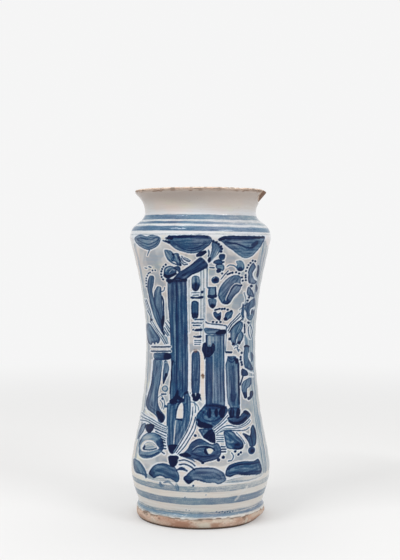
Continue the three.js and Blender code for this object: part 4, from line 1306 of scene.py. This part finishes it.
def paint_right_chain(brush):
    """Leaves, beans and dots that run down beside the right border."""
    brush.dots([47, 219.2, 44.8, 219.7, 42.9, 217.7, 41.1, 215.9, 40, 213.7, 39.1, 210.8, 38.8, 207.2, 38.8, 205.2,
                38.9, 202.8], 0.95)
    brush.patch([45.1, 217.9, 46.4, 216.4, 47.3, 214.3, 46.4, 212.1, 44.9, 209.9, 44.7, 207.3, 45.9, 204.3,
                 47.9, 201.7, 46.8, 200, 44.4, 199.6, 41.6, 200.4, 40.7, 203, 41, 207.3, 41, 210.4, 42.3, 214.3],
                0.50, 75, 0.26)
    brush.scratch([47, 212.3, 45.2, 208.3, 46.2, 204.3, 48, 203], 1.3, 0.9)
    brush.stroke([49.2, 215.6, 49.4, 211.7, 49, 208.2, 48.6, 205.9], (1.0, 1.8, 2.2, 1.4), 0.8)
    brush.dot(43.6, 197.8, 1.3)
    brush.stroke([47.7, 198.7, 48.1, 196.1, 47.5, 193], (1.0, 1.8, 1.0), 0.8)
    brush.patch([41.2, 197.3, 43.6, 195.2, 45.1, 192.2, 46, 188.7, 43.1, 188.8, 40.6, 189.7, 39.7, 191.7,
                 39.9, 194.3], 0.52, 80, 0.3)
    brush.dot(41.6, 188, 1.1)
    brush.dot(40.5, 185.3, 1.0)
    brush.line([39.9, 183.5, 38.1, 180.9], 0.9, 0.8)
    brush.patch([46.8, 187.1, 44.2, 186.3, 41.6, 183.9, 39, 182, 38.1, 179.6, 38.1, 177.4, 39.4, 174.8, 39.5, 170.9,
                 41.1, 168.8, 42.9, 168.2, 44.6, 170.1, 45.8, 173.1, 46.5, 176.6, 44.9, 176.4, 43.8, 174.2,
                 42.8, 174.4, 42.6, 176.1, 43.8, 178.7, 46.4, 180.9, 46.9, 183.9], 0.50, 80, 0.26)
    brush.scratch([46.5, 179.1, 44, 178.5, 42.9, 176.1, 43.1, 173.6], 1.0)
    brush.line([44.4, 177, 43.9, 174.6], 1.2, 0.9)
    brush.stroke([42.5, 184, 40.6, 178, 41, 172], (0.8, 1.0, 0.8), 0.72)
    brush.line([40.7, 166.6, 42.3, 165.3], 1.6, 0.98)
    brush.fine_lines([[42.5, 164.4, 41.2, 161, 41.4, 157.1, 42.6, 152.6], [42.9, 164.4, 44.2, 161, 44.4, 157.1,
                      43.4, 152.6]], 0.9, 0.7)
    brush.line([37.9, 164.9, 38.1, 161, 38.1, 157.9], 1.2, 0.9)
    brush.patch([34.9, 175.3, 34.2, 173.5, 35.1, 170.9, 35.5, 168.3, 36.6, 168, 37.5, 170.9, 37.4, 173.5, 37.7, 179,
                 36.4, 183, 35.4, 179], 0.48, 90, 0.2, pool=(36.6, 169, 2.6, 0.5))
    brush.fine_lines([[33.6, 173.9, 29, 168.8, 25.6, 165.2, 23.4, 161.5], [34.4, 171.9, 30, 167.6, 26.8, 164.3,
                      24, 158.9], [36.2, 169.6, 31.6, 165.8, 27.8, 162.2, 24.6, 157.5]], 0.9, 0.9)
    brush.line([22.6, 163, 22.2, 152, 21.6, 141], 0.8, 0.6)
    brush.patch([26.2, 160.9, 31.8, 167.1, 34.2, 167.7, 36.7, 165.2, 36.1, 160.9, 35, 159.6, 36.4, 157.6, 37.2, 155,
                 36.4, 151.6, 34.2, 148.5, 32.1, 147.9, 30.5, 147.3, 28, 147.9, 26.2, 151, 25.9, 155.3], 0.50, 65,
                0.3)
    brush.scratch([36.2, 160.2, 33.6, 157.4, 31.8, 153, 30.8, 148.4], 0.8, 0.85)
    brush.line([35.2, 159.6, 32.8, 156.6, 31, 152.4, 30.2, 148.4], 0.8, 0.85)
    brush.dots([25.4, 152, 28.4, 147.6, 33.4, 148.8], 1.4)
    brush.dots([38, 163, 38, 157.6], 0.8)
    brush.line([28.7, 145.7, 30.5, 147, 32.4, 146, 31.8, 143.6, 34.2, 142.3], 0.8, 0.62)
    brush.line([29.3, 143.6, 31.1, 144.8, 33, 141.1], 0.8, 0.62)
    brush.dots([35.6, 140, 34.8, 136.4, 34.6, 134.3, 35.3, 131.9, 35.8, 129.8], 1.05)
    brush.line([37.9, 145.6, 39.9, 146.4, 41.6, 145.4], 1.4, 0.98)
    brush.stroke([39.4, 146.7, 39.4, 151, 38.4, 155], (2.2, 2.6, 1.4), 0.36)
    brush.patch([37.7, 145.4, 39.9, 146.2, 41.6, 145.4, 41.8, 142.3, 41.6, 139.3, 41.4, 135.4, 42.3, 132.8,
                 43.8, 130.2, 45.3, 127.2, 45.1, 125, 42.5, 125.4, 38.6, 127.2, 37.4, 131.5, 37.1, 135.4, 37.3,
                 140.2, 37.7, 143.2], 0.58, 85, 0.26)
    brush.scratch([41.9, 139.8, 41.6, 135.8, 43.6, 132.7], 0.9)
    brush.stroke([43.8, 140.2, 44.6, 137.1, 44, 133.2], (1.2, 2.4, 1.4), 0.62)
    brush.scratch([39.4, 125, 42.5, 123.7, 45.5, 122.4], 1.1)
    brush.patch([36, 126.2, 39, 125.4, 40.3, 124.1, 41.1, 121.7, 39.9, 120.2, 36, 120.1, 35.2, 122.8], 0.86, 60,
                 0.2)
    brush.scratch([37.7, 119.4, 40.3, 119.5, 45.5, 119.4], 0.9)
    brush.line([36.6, 119.6, 35.5, 115.6, 34.6, 112.4], 1.3, 0.95)
    brush.patch([42.5, 118.6, 38.1, 116.3, 36.2, 113.7, 35.4, 110.7, 35.8, 107.2, 37.7, 101.6, 38.7, 100.7,
                 40.3, 101.4, 40.1, 105.5, 40.3, 109, 42.3, 110.7, 44, 113.7, 43.8, 117.6], 0.58, 70, 0.28,
                pool=(38.7, 103, 4, 0.35))
    brush.patch([41.6, 99.2, 44.2, 101.2, 45.7, 104.2, 45.2, 107.2, 43.3, 107, 42.5, 105.1, 42.3, 102.5,
                 40.6, 101.2], 0.9, 80, 0.2)


def paint_left_column(brush):
    """The short column at the left border, with its ringed cap and hooked foot."""
    brush.fine_lines([[-42.3, 145.3, -26, 145.3], [-43, 141.6, -26, 141.5]], 1.05, 0.95)
    brush.patch([-40.6, 139.6, -34, 140.2, -27, 139.8, -25.6, 137, -26.5, 134.6, -33, 133.6, -39.5, 134.6], 0.6, 0,
                pool=(-28.5, 137, 4.6, 0.45))
    brush.patch([-40.5, 134.5, -33.4, 133.6, -33.8, 125, -34.8, 115, -36.6, 106, -37, 99.4, -36.5, 95.1,
                 -34.4, 90, -31.1, 85.7, -30.8, 82.8, -32.6, 79.9, -34.4, 79.2, -36.5, 80.6, -38, 84.3, -40.9, 87.2,
                 -43.8, 89.3, -46.7, 92.2, -47.6, 97, -46, 104, -43.4, 112, -41.7, 125], 0.58, 84, 0.2, 0.16)
    brush.stroke([-37, 88, -34.6, 84.6, -33.2, 81.4], (3.4, 5.4, 3.2), 0.94)
    brush.scratch([-48.5, 92.6, -44.5, 86.4, -38.7, 82.1, -36.4, 79.1], 1.0, 0.9)
    brush.scratch([-42.2, 134, -43.2, 120, -44.6, 110, -47, 104], 1.1, 0.95)
    brush.stroke([-30, 131.5, -29.8, 126, -31.2, 119, -32.2, 113.6], (3.6, 5.0, 3.2, 1.2), 0.55, 0.4)
    brush.scratch([-31.2, 131.2, -29.4, 131.8, -27.4, 130.6], 0.6, 0.6)
    brush.stroke([-31.3, 116.4, -29.6, 121], (1.0, 2.6), 0.9, 0, 0)
    brush.dot(-30.8, 109.1, 2.8, 0.62)
    brush.dot(-30.8, 109.1, 1.9, 0.2)
    brush.leave_white([-32.5, 109.1, -30.8, 110.9, -29.1, 109.1, -30.8, 107.3])
    brush.tint([-32.5, 109.1, -30.8, 110.9, -29.1, 109.1, -30.8, 107.3], 1.0)
    brush.line([-33.7, 104.2, -29.9, 104.3], 1.2, 0.9)
    brush.dot(-33, 100.2, 1.1, 0.8)
    brush.line([-37.5, 101, -34.5, 103, -32.4, 100.5, -31, 96, -32, 91], 0.8, 0.6)
    brush.line([-35, 99, -33, 96, -33.4, 92], 0.8, 0.7)
    brush.dot(-30, 93.6, 1.2, 0.7)


def paint_right_columns(brush):
    """Two columns right of the middle, each ending in a fingered knob."""
    brush.patch([3.6, 161.3, 5.8, 161.6, 11.9, 161, 18.1, 160.2, 21.2, 160.4, 22.2, 159, 21.2, 155.9, 18.1, 155.2,
                 11.9, 155.9, 7, 156.1, 4.5, 156.9, 3.3, 159.2], 0.50, 0, 0.26)
    brush.stroke([14, 157.2, 17.2, 157.8, 20.6, 158.2], (2.0, 3.8, 3.0), 0.98)
    brush.patch([4.5, 155.6, 20.9, 155.6, 20.9, 133.7, 20.8, 115, 21.4, 96, 21, 92, 12, 91, 5, 92, 4.2, 110,
                 4.3, 135], 0.50, 90, 0.2, 0.12, soft=False)
    brush.patch([4.6, 137, 10.4, 137, 10.4, 115, 10.4, 94, 4.6, 94, 4.2, 115], 0.64, 90, 0.12, 0.12, soft=False)
    brush.scratch([11, 153, 11.2, 133.7, 10.9, 97], 0.9, 0.45)
    brush.line([17.3, 153, 17.2, 125, 17.6, 98], 1.4, 0.55)
    brush.line([20.2, 155, 20.3, 130, 20.6, 98], 0.9, 0.74)
    brush.patch([2, 147.3, 3.3, 148.8, 5.1, 148.5, 6.1, 145.6, 7.6, 145, 9.4, 145.6, 10.7, 148.6, 12.3, 146,
                 12.4, 143.3, 11.3, 139.9, 7.6, 136.4, 4.8, 136.6, 3.4, 134.2, 2.8, 138.4, 1.3, 142.3], 0.92, 90)
    brush.scratch([7.8, 154, 7.7, 148], 2.0, 0.4)
    brush.line([5.2, 155, 5, 149], 1.0, 0.78)
    brush.leave_white([0.6, 139, 2.6, 134, 3.2, 120, 3.2, 98, 0.6, 98, 0.2, 115])
    brush.scratch([21.3, 140, 21.3, 128, 21.6, 115, 22, 101, 23.6, 95], 1.1, 0.95)
    brush.line([22.2, 140.6, 26.8, 140.5], 1.7, 0.9)
    brush.patch([21.5, 129.9, 22.8, 133.7, 23.4, 137.1, 29.3, 137.4, 32.4, 134.9, 33.3, 129.9, 33.7, 115, 33.8, 100,
                 34, 92, 30, 91, 26, 92, 23.6, 96, 22.6, 104, 22, 120], 0.54, 90, 0.22, 0.13, soft=False)
    brush.line([23.7, 136.8, 26.8, 134.3, 30.5, 136.6], 0.8, 0.78)
    brush.line([23.4, 134.3, 26.8, 131.8, 30, 133.7], 0.8, 0.75)
    brush.stroke([29.8, 134.6, 31.4, 133.6, 31.2, 131.6], (1.6, 3.0, 2.2), 1.0)
    brush.stroke([28.4, 128, 28.2, 112, 28, 96], (2.2, 3.6, 3.6), 0.58, 0, 0)
    brush.line([33, 131, 33.3, 112, 33.5, 96], 1.5, 0.9)
    brush.scratch([30.9, 131.2, 31.1, 115.1, 30.8, 99], 0.8, 0.3)
    brush.stroke([26.6, 104, 28.4, 99, 30.4, 104], (1.6, 3.4, 1.6), 0.76, 0, 0)
    brush.patch([4.6, 94.4, 14.7, 94.4, 22.7, 92.2, 23, 87.9, 19.1, 82.1, 14, 77, 9, 74.1, 1.7, 74.9, -3.3, 77,
                 -4.8, 81.4, -2.6, 87.2, 1, 91.5], 0.64, -35, 0.26)
    brush.stroke([4.4, 94, 12, 94.4, 21.6, 92.6], (2.4, 3.0, 2.4), 0.8, 0, 0)
    brush.stroke([7.8, 91, 7.5, 88, 7.7, 84.6], (1.8, 3.6, 2.6), 0.92)
    brush.stroke([13.8, 91, 13.6, 88.4, 13.9, 85.2], (1.4, 2.8, 1.8), 1.0)
    brush.stroke([19.4, 91.4, 18.6, 88, 18.8, 85.4], (4.0, 5.6, 3.4), 0.92)
    brush.stroke([-2.6, 81, -0.4, 78, 4, 76.8, 9.4, 76.2], (3.0, 4.6, 4.4, 2.2), 1.04)
    brush.line([3, 89, 1.6, 85.6, 3.4, 82, 9, 80.4, 15, 82, 18.4, 85], 0.8, 0.84)
    brush.patch([-1.5, 73.4, 3.9, 74.1, 11.8, 73.4, 12.6, 68.4, 12.9, 62.6, 9.7, 61.9, 6.1, 64, 2.5, 66.2,
                 0.3, 69.8], 0.64, 60)
    brush.patch([3.2, 68.6, 5.6, 71, 8.2, 73.1, 12, 72, 12.9, 62, 9, 62.6, 3.2, 66.2], 1.04, 60, 0.1)
    brush.dot(-4.5, 68, 1.2)
    brush.patch([23, 82.8, 26.3, 85, 32.8, 84.3, 35.7, 87.2, 38.6, 90.4, 41.5, 89, 43.3, 86.1, 41.5, 83.5, 38.6,
                 80.6, 35.7, 78.1, 31.3, 77.4, 26.3, 79.2], 0.66, 20, 0.32)
    brush.patch([24.6, 92, 33.8, 92, 33.6, 85.6, 28.6, 84.6, 24.8, 85.6], 0.66, 90, 0.12)
    brush.stroke([27.2, 91.6, 27.2, 88.4, 27, 84.8], (2.0, 3.8, 3.0), 0.92)
    brush.stroke([32.6, 91.2, 32.6, 88, 32.3, 84.4], (2.0, 3.4, 2.4), 0.9)
    brush.stroke([24.6, 81, 29, 78.9, 34.6, 79.8, 39.6, 83.8], (1.8, 2.6, 2.6, 1.8), 0.92, 0, 0)
    brush.stroke([38, 89, 41, 87.4], (2.2, 2.0), 0.9)


def paint_fans(brush):
    """Sheaves of fine parallel lines that fan out under the columns."""
    brush.fine_lines([[-51, 88.6, -43.8, 83.5, -36.5, 79.2, -29.4, 75.8], [-51.7, 85.7, -45.2, 82.1, -38, 77.8,
                      -29.4, 73.6], [-52.3, 82.1, -46.7, 81, -40.2, 77, -29.4, 72]], 0.8, 0.74)
    brush.fine_lines([[-40.2, 74.9, -29.8, 70.5], [-39.1, 72, -30, 67.7], [-36.9, 69.1, -30.4, 65.3]], 1.0, 0.86)
    brush.fine_lines([[-34.2, 65.6, -30.9, 63.7], [-33, 62.6, -30.6, 61.8], [-32, 59.6, -30.2, 59.2],
                      [-31.6, 56.8, -30, 56.8], [-33.4, 53.9, -31.4, 52.6]], 1.1, 0.96)
    brush.fine_lines([[-4.4, 84, -6, 78, -9, 71, -14, 62.5, -21, 53], [-6.6, 93, -7, 86, -9, 78, -12, 71, -17, 62.5,
                      -22.5, 53.6], [-3.4, 80, -5, 73, -9, 66, -13.6, 58.6, -19.6, 52]], 0.75, 0.85)
    brush.line([-5.4, 97, -4.2, 92, -4.6, 88], 0.9, 0.6)
    brush.line([-8.6, 97.4, -5, 96.4, -2, 93, -1.6, 90.4], 0.9, 0.5)
    brush.fine_lines([[11.5, 74.2, 16.9, 78.5, 23.6, 85.6], [12.2, 72.3, 17.6, 76.7, 23, 81.4],
                      [13.3, 70.5, 19.8, 75.6, 25.6, 77, 31.3, 75.7, 37.1, 77.8, 42.2, 82.5],
                      [14.7, 69.8, 20.5, 73.8, 27.7, 74.1, 35.7, 75.6, 41.5, 79.2, 43, 81.4],
                      [16.9, 71.1, 22, 72.8, 29.9, 72.6, 38.6, 73.1, 42.2, 75.6]], 0.85, 0.72)
    brush.fine_lines([[13.9, 68.4, 20, 68.4], [13.9, 66.6, 20, 66.6], [13.9, 64.8, 20, 64.6],
                      [14.2, 63, 20, 62.8]], 0.75, 0.8)
    brush.fine_lines([[18, 58.4, 21.2, 58.4], [18.3, 56.2, 22, 56.2], [18.3, 54, 21.8, 54]], 1.1, 0.95)
    brush.dots([19.6, 49.2, 15.6, 47], 1.4)


def paint_lower_motifs(brush):
    """Seed shapes between the fans and the lower lobes."""
    brush.patch([-48.2, 77.4, -44.4, 78.6, -40.6, 77.6, -41, 74, -43.4, 71, -45.4, 70.8, -47.6, 73.6], 0.9, 90,
                 0.15)
    brush.patch([-47.9, 79.2, -51, 78.1, -52.6, 74.9, -53.8, 71.3, -54.8, 65.5, -51.4, 69.1, -49, 73.4], 0.42, 75,
                0.3)
    brush.patch([-53.5, 56, -53.4, 62, -51, 67, -47, 70.4, -42, 71, -38, 70, -34, 66.5, -32.2, 62, -32.2, 57,
                 -35, 53, -39, 50.6, -44, 48.8, -49, 48.6, -52.4, 50.4, -53.8, 53], 0.44, 25, 0.22, pool=(-34,
                 60, 6, 0.3))
    brush.leave_white([-50.8, 55.2, -51.8, 58.3, -51, 61.9, -48.1, 64.2, -43.8, 64.6, -40.2, 62.8, -37.6, 59.5,
                       -36, 57.2, -38.6, 55.8, -41.6, 55, -46.7, 54.4])
    brush.patch([-49.7, 57.6, -48.6, 61.2, -45, 63, -41, 61.8, -37.8, 57.9, -41.6, 56.4, -47, 55.9], 0.26, 0, 0.14)
    brush.stroke([-49.4, 57.4, -48.4, 59.4], (2.0, 1.2), 0.95)
    brush.line([-49.6, 56.6, -43.6, 55.8, -38.2, 57], 0.8, 0.85)
    brush.stroke([-52, 51.6, -44, 50.6, -36, 54], (1.0, 1.6, 1.0), 0.68)
    brush.patch([-18.6, 51.6, -14, 53.6, -11, 57, -8, 62, -3, 65, 0.4, 65.2, 5, 63, 10, 60.6, 14.6, 61.6, 17.4,
                 58, 18, 53, 16, 49, 12, 46.8, 6, 45.2, 2, 44.6, -1.4, 46, -5, 47.6, -10, 49, -14.4, 49.2],
                 0.62, 15, 0.26)
    brush.stroke([-17.6, 51.2, -13, 51.2, -9, 50.4], (1.6, 3.6, 1.6), 1.0)
    brush.line([-7, 54.2, -4, 57, 0, 57.9, 6, 58, 10, 57, 12.4, 55], 0.9, 0.9)
    brush.scratch([-6.6, 55.8, -3, 58.7, 2, 59.6, 7, 59.5, 11, 58], 0.7, 0.6)
    brush.leave_white([5.6, 56.2, 8.2, 57, 11, 55.8, 10.4, 53.8, 8.4, 52, 6.4, 52.8])
    brush.stroke([4.2, 56.8, 4.2, 54.4, 6, 52], (1.0, 2.0, 1.4), 1.0)
    brush.line([5, 57.4, 8.4, 58, 11.8, 56.2], 0.9, 0.9)
    brush.line([-8, 52.8, -2, 50.4, 5, 49.6, 12, 51], 1.1, 0.8)
    brush.patch([20.2, 71.3, 24.1, 72.3, 28.5, 71.3, 31.3, 68.4, 35.7, 64.8, 37.5, 61.1, 36.8, 57.5, 33.5, 56.1,
                 29.2, 56.1, 24.1, 56.8, 22, 59, 21.2, 64], 0.62, -40, 0.3, 0.2, pool=(33, 57.5, 6, 0.25))
    brush.scratch([23.6, 63.6, 26.4, 62.2, 28, 63], 1.4, 0.35)
    brush.fine_lines([[31.3, 70.7, 35.7, 65.9, 38.6, 61.3]], 0.8, 0.6)
    brush.patch([36.4, 69.8, 38.6, 70.2, 42.2, 68.4, 43.3, 69.8, 43.6, 74.9, 45.1, 77.8, 46.9, 75.6, 48, 72,
                 48.3, 66.9, 48, 61.1, 45.8, 59, 42.9, 59, 41.5, 62.6, 38.6, 66.9], 0.62, 70, 0.32, 0.2)
    brush.line([43.4, 69, 44.6, 64, 45.2, 60], 0.9, 0.85)
    brush.dot(44.3, 55.4, 3.2, 0.84)
    brush.dot(44.8, 55, 1.6, 1.0)
    brush.dots([35, 53.6, 32.8, 51.8, 30.2, 54.4], 1.1)
    brush.line([27, 53.2, 28.5, 50.3, 27, 46.7, 24.1, 46], 0.9, 0.8)
    brush.fine_lines([[-18.5, 46.3, -13.4, 46.7, -7.7, 44.2, -4.8, 41.6], [-18.5, 42.7, -13.4, 43.1, -8.4, 40.9,
                      -5.3, 38.2]], 1.1, 0.86)
    brush.stroke([-13, 49, -8, 47.6, -5, 45.4], (0.8, 1.8, 1.0), 0.6)
    brush.line([-6, 48.4, -1, 46.2, 2, 44.4], 0.9, 0.95)
    brush.dot(1.9, 44.2, 1.2)
    brush.iron_spot(-4.6, 45.2, 1.3, 0.5)


def paint_lower_lobes(brush):
    """The row of lobes along the foot of the panel, and the stray marks under it."""
    brush.patch([-58, 48, -54, 47, -51, 44, -48.5, 40, -47, 36, -46.5, 33, -47.5, 31.3, -49, 34, -52, 35, -57, 38],
                0.5, -60)
    brush.patch([-45, 35.5, -43, 39.5, -40, 42.5, -36, 44, -31, 44, -27, 42.4, -22.5, 41, -20, 37, -18.5, 33,
                 -19, 28.4, -21, 27.4, -23, 28.8, -26, 30.5, -30, 31, -34, 33, -38, 32.5, -40.5, 31.2, -43, 33],
                0.6, -12, 0.26, pool=(-42.6, 36, 3.6, 0.25))
    brush.stroke([-20.4, 38.2, -16.3, 39.4, -11.6, 37.3], (1.0, 2.6, 1.2), 0.8)
    brush.patch([-15, 31, -12, 34, -9, 37, -5, 39.5, 0, 40.2, 8, 40.2, 13, 39.5, 17, 37.6, 20, 35.5, 22, 31,
                 21.5, 28.5, 18, 26.5, 15, 25.7, 12, 27, 8, 26.7, 3, 27.2, -1, 28.6, -5, 29, -8, 26.7, -10.5, 25.7,
                 -13, 27.7], 0.54, 0, 0.3, pool=(-11, 29, 5, 0.3))
    brush.patch([21.6, 36.6, 24.1, 41.6, 29.9, 44.5, 37.1, 46, 45.8, 46.3, 50.1, 48.1, 52.3, 43.1, 53, 38, 50.8,
                 35.1, 45.8, 34.4, 38.6, 33.7, 31.3, 34.4, 26.3, 32.3, 22, 33], 0.58, 5, 0.32)
    brush.line([23.4, 38.6, 29, 41.8, 36, 43.4, 44, 43.8, 50.6, 45.2], 1.2, 0.8)
    brush.line([25, 35.4, 31, 36.4, 38, 36, 46, 37.4, 52, 37.4], 1.0, 0.74)
    brush.line([30, 39.6, 38, 40.8, 46, 40.6], 1.2, 0.5)
    brush.scratch([-50, 31.4, -40, 29.2, -30, 27, -20, 25.2, 0, 24.6, 10, 24.9, 25, 26.2, 40, 28.7, 50, 31],
                   0.8, 0.8)
    brush.stroke([-50, 35.4, -44, 32.2, -38, 30.4, -30, 29.6, -22, 28.2], (3.0, 3.4, 3.4, 2.6, 1.2), 0.24, 0, 0.04)
    brush.stroke([20, 27.6, 28, 28.8, 36, 30.2, 44, 32, 52, 34.4], (1.2, 3.4, 4.4, 4.4, 3.0), 0.22, 0, 0.04)
    brush.stroke([-35.0, 27.4, -34.2, 24.6, -31.8, 24.8], (1.6, 3.0, 1.4), 0.36, 0, 0.08)
    brush.stroke([-32, 27.2, -28, 28.0, -25, 25.8, -23.4, 24.6], (1.0, 2.2, 1.4, 0.8), 0.34, 0, 0.08)
    brush.stroke([-21, 26.0, -20.4, 23.4, -19.8, 20.6], (1.6, 3.0, 2.0), 0.42, 0, 0.08)
    brush.dots([14, 1.8, 16.4, 1.0, 19, 1.9, 21.2, 1.0, 23.4, 1.8, 25.6, 1.4, 28, 2.2], 0.5, 0.75)
    brush.dots([-12.5, 3.2, -9.8, 2.6, 4.8, 16.2, -13.5, 14.4], 0.45, 0.7)
    brush.dot(-6.3, 24.3, 0.9, 0.85)
    brush.scratch([40.3, 23.6, 34, 16.6, 30.2, 12], 2.0, 0.4)


# Upright lines where the panel ends: angle, width and tone.
RIGHT_BORDER = ((60, 6.5, 0.20), (67, 7.0, 0.27), (76, 9.0, 0.22),
                (62, 1.2, 0.42), (70, 1.6, 0.44), (80, 1.6, 0.36))
LEFT_BORDER = ((-69, 5.0, 0.24), (-78, 6.0, 0.18), (-71, 1.2, 0.42))


def paint_borders(brush):
    """Upright lines where the panel ends at the side of the jar."""
    for lines, low, high in ((RIGHT_BORDER, 42, 236), (LEFT_BORDER, 44, 234)):
        for turn_deg, width, tone in lines:
            brush.upright(turn_deg, low, high, width, tone)


def paint_panel(brush):
    """The whole panel, from its borders and washes to the lobes along its foot."""
    for motif in (paint_borders, paint_washes, paint_upper_lobes, paint_left_flower, paint_left_leaves,
                  paint_first_column, paint_cross_bar, paint_panel_column, paint_bars, paint_right_flowers,
                  paint_right_chain, paint_left_column, paint_right_columns, paint_fans, paint_lower_motifs,
                  paint_lower_lobes):
        motif(brush)


# The stripes go round the jar; the panel is painted on the front and, mirrored, on the back.
paint_stripes(Brush(0.0, 1, 100))
paint_panel(Brush(0.0, 1, 1000))
paint_panel(Brush(math.pi, -1, 5000))

# The shoulder's white is painted cooler and whiter between these levels, a painted reflection on the
# upward-facing glaze. Grime sits at the edges of the glaze, along the lip and on the foot: up to these
# distances it is full, and then gone.
SHOULDER_PAINTED_REFLECTION = 0.55
SHOULDER_LEVELS = (222, 242, 258, 266)
LIP_LINE = (0.6, 1.3)
FOOT_LINE = (0.5, 1.4)
FOOT_LINE_RUST = 0.9

Brush.wash += SHOULDER_PAINTED_REFLECTION * between(*SHOULDER_LEVELS, coat_level) * (CLEAN - Brush.wash)
lip_line = (1 - smooth_step(*LIP_LINE, from_high)) * ~at_flake
on_foot_line = 1 - smooth_step(*FOOT_LINE, from_low)
grime = coat_noise(90, 41, along_grid / 2)
Brush.rust[:] = np.maximum(Brush.rust, lip_line * (0.35 + 0.65 * smooth_step(-0.4, 0.5, grime)))
Brush.rust[:] = np.maximum(Brush.rust, on_foot_line * FOOT_LINE_RUST * smooth_step(-0.3, 0.4, grime))
back_zeros = np.zeros(back_along.shape)
for name, values in (("ink", Brush.ink), ("wash", Brush.wash), ("rust", Brush.rust), ("thin", 1 - thin)):
    add_field(outer_glaze, name, np.concatenate([values, back_zeros]))

GLAZE_WHITE = (219, 218, 216)
GLAZE_ROSE = (230, 214, 203)
GLAZE_GREY = (208, 214, 215)
GLAZE_CREAM = (222, 222, 204)
GLAZE_CLEAN_AND_REFLECTION = (222, 231, 243)
GLAZE_WASH = (120, 144, 166)
NECK_SHADE = (192, 179, 170)
BASE_PAINTED_LIGHT = (238, 236, 230)
TURNING_LINE = (196, 180, 170)
RUST_BROWN = (108, 76, 58)
THIN_GLAZE = (206, 186, 170)
GLAZE_GRIT = (120, 100, 88)
# Cobalt from thin to thick, where it is blue and where it has turned violet.
COBALT_STOPS = (0.0, 0.22, 0.42, 0.60, 0.80, 1.0)
COBALT_BLUE = ((202, 206, 206), (160, 175, 183), (106, 136, 160), (42, 82, 118), (18, 48, 92), (0, 16, 58))
COBALT_VIOLET = ((206, 204, 208), (168, 172, 184), (118, 130, 154), (72, 82, 112), (36, 48, 84), (10, 18, 50))


def cobalt_ramp(tree, ink, colours):
    """The colour of cobalt for an amount of ink from 0 to 1."""
    node = add_node(tree, "ShaderNodeValToRGB")
    points = node.color_ramp.elements
    while len(points) < len(colours):
        points.new(0.5)
    for point, place, colour in zip(points, COBALT_STOPS, colours):
        point.position = place
        point.color = paint(*colour)
    tree.links.new(ink, node.inputs["Fac"])
    return node.outputs["Color"]


def added(tree, first, second):
    """The sum of two values."""
    node = add_node(tree, "ShaderNodeMath", operation="ADD")
    tree.links.new(first, node.inputs[0])
    tree.links.new(second, node.inputs[1])
    return node.outputs[0]


def painted_glaze_material():
    """White tin glaze, uneven in tone, under the cobalt, the washes and the rust of the painting, with painted
    shade on the neck, painted light towards the base and a painted reflection on the shoulder.
    """
    material = new_material("painted_tin_glaze")
    tree = material.node_tree
    white = mixed(tree, clouds(tree, 26, 0.42, 0.62), GLAZE_WHITE, GLAZE_ROSE)
    white = mixed(tree, clouds(tree, 19, 0.52, 0.68, stretch=(1, 1, 0.6)), white, GLAZE_GREY)
    white = mixed(tree, clouds(tree, 34, 0.56, 0.70, roughness=0.6, stretch=(1, 1, 3)), white, GLAZE_CREAM)
    wash = field(tree, "wash")
    # Where the wash goes below 0 the white turns clean and cool: rings kept clean round the marks, and the painted
    # reflection on the shoulder.
    white = mixed(tree, spread(tree, wash, 0.0, CLEAN), white, GLAZE_CLEAN_AND_REFLECTION)
    white = mixed(tree, spread(tree, wash, 0.0, 1.0, 0.0, 0.85), white, GLAZE_WASH)
    place = add_node(tree, "ShaderNodeSeparateXYZ")
    tree.links.new(add_node(tree, "ShaderNodeTexCoord").outputs["Object"], place.inputs[0])
    height = place.outputs["Z"]
    white = mixed(tree, spread(tree, height, 0.258, 0.274), white, NECK_SHADE)
    # Painted light: the white is lighter towards the base, where less light reaches it.
    white = mixed(tree, spread(tree, height, 0.046, 0.036, 0.0, 0.6), white, BASE_PAINTED_LIGHT)
    lines = clouds(tree, 90, 0.42, 0.70, 0.0, 0.30, roughness=0.6, stretch=(0.5, 0.5, 9))
    white = mixed(tree, lines, white, TURNING_LINE)
    ink = added(tree, field(tree, "ink"), clouds(tree, 1300, 0.3, 0.7, -0.05, 0.05, detail=2))
    ink = added(tree, ink, clouds(tree, 260, 0.3, 0.7, -0.04, 0.03, detail=4, roughness=0.7))
    blue, violet = cobalt_ramp(tree, ink, COBALT_BLUE), cobalt_ramp(tree, ink, COBALT_VIOLET)
    cobalt = mixed(tree, clouds(tree, 28, 0.44, 0.66, 0.0, 0.6, roughness=0.6), blue, violet)
    colour = mixed(tree, spread(tree, ink, 0.02, 0.30), white, cobalt)
    colour = mixed(tree, field(tree, "rust"), colour, RUST_BROWN)
    colour = mixed(tree, spread(tree, field(tree, "thin"), 0.6, 1.0, 0.0, 0.6), colour, THIN_GLAZE)
    colour = mixed(tree, specks(tree, 900, 0.70, 0.78, 0.45), colour, GLAZE_GRIT)
    rough = clouds(tree, 120, 0.3, 0.7, 0.08, 0.20)
    finish_shader(tree, colour, rough, noise(tree, 160), 0.10, 0.001, Specular_IOR_Level=GLAZE_SPECULAR)
    return material


outer_glaze.data.materials.append(painted_glaze_material())
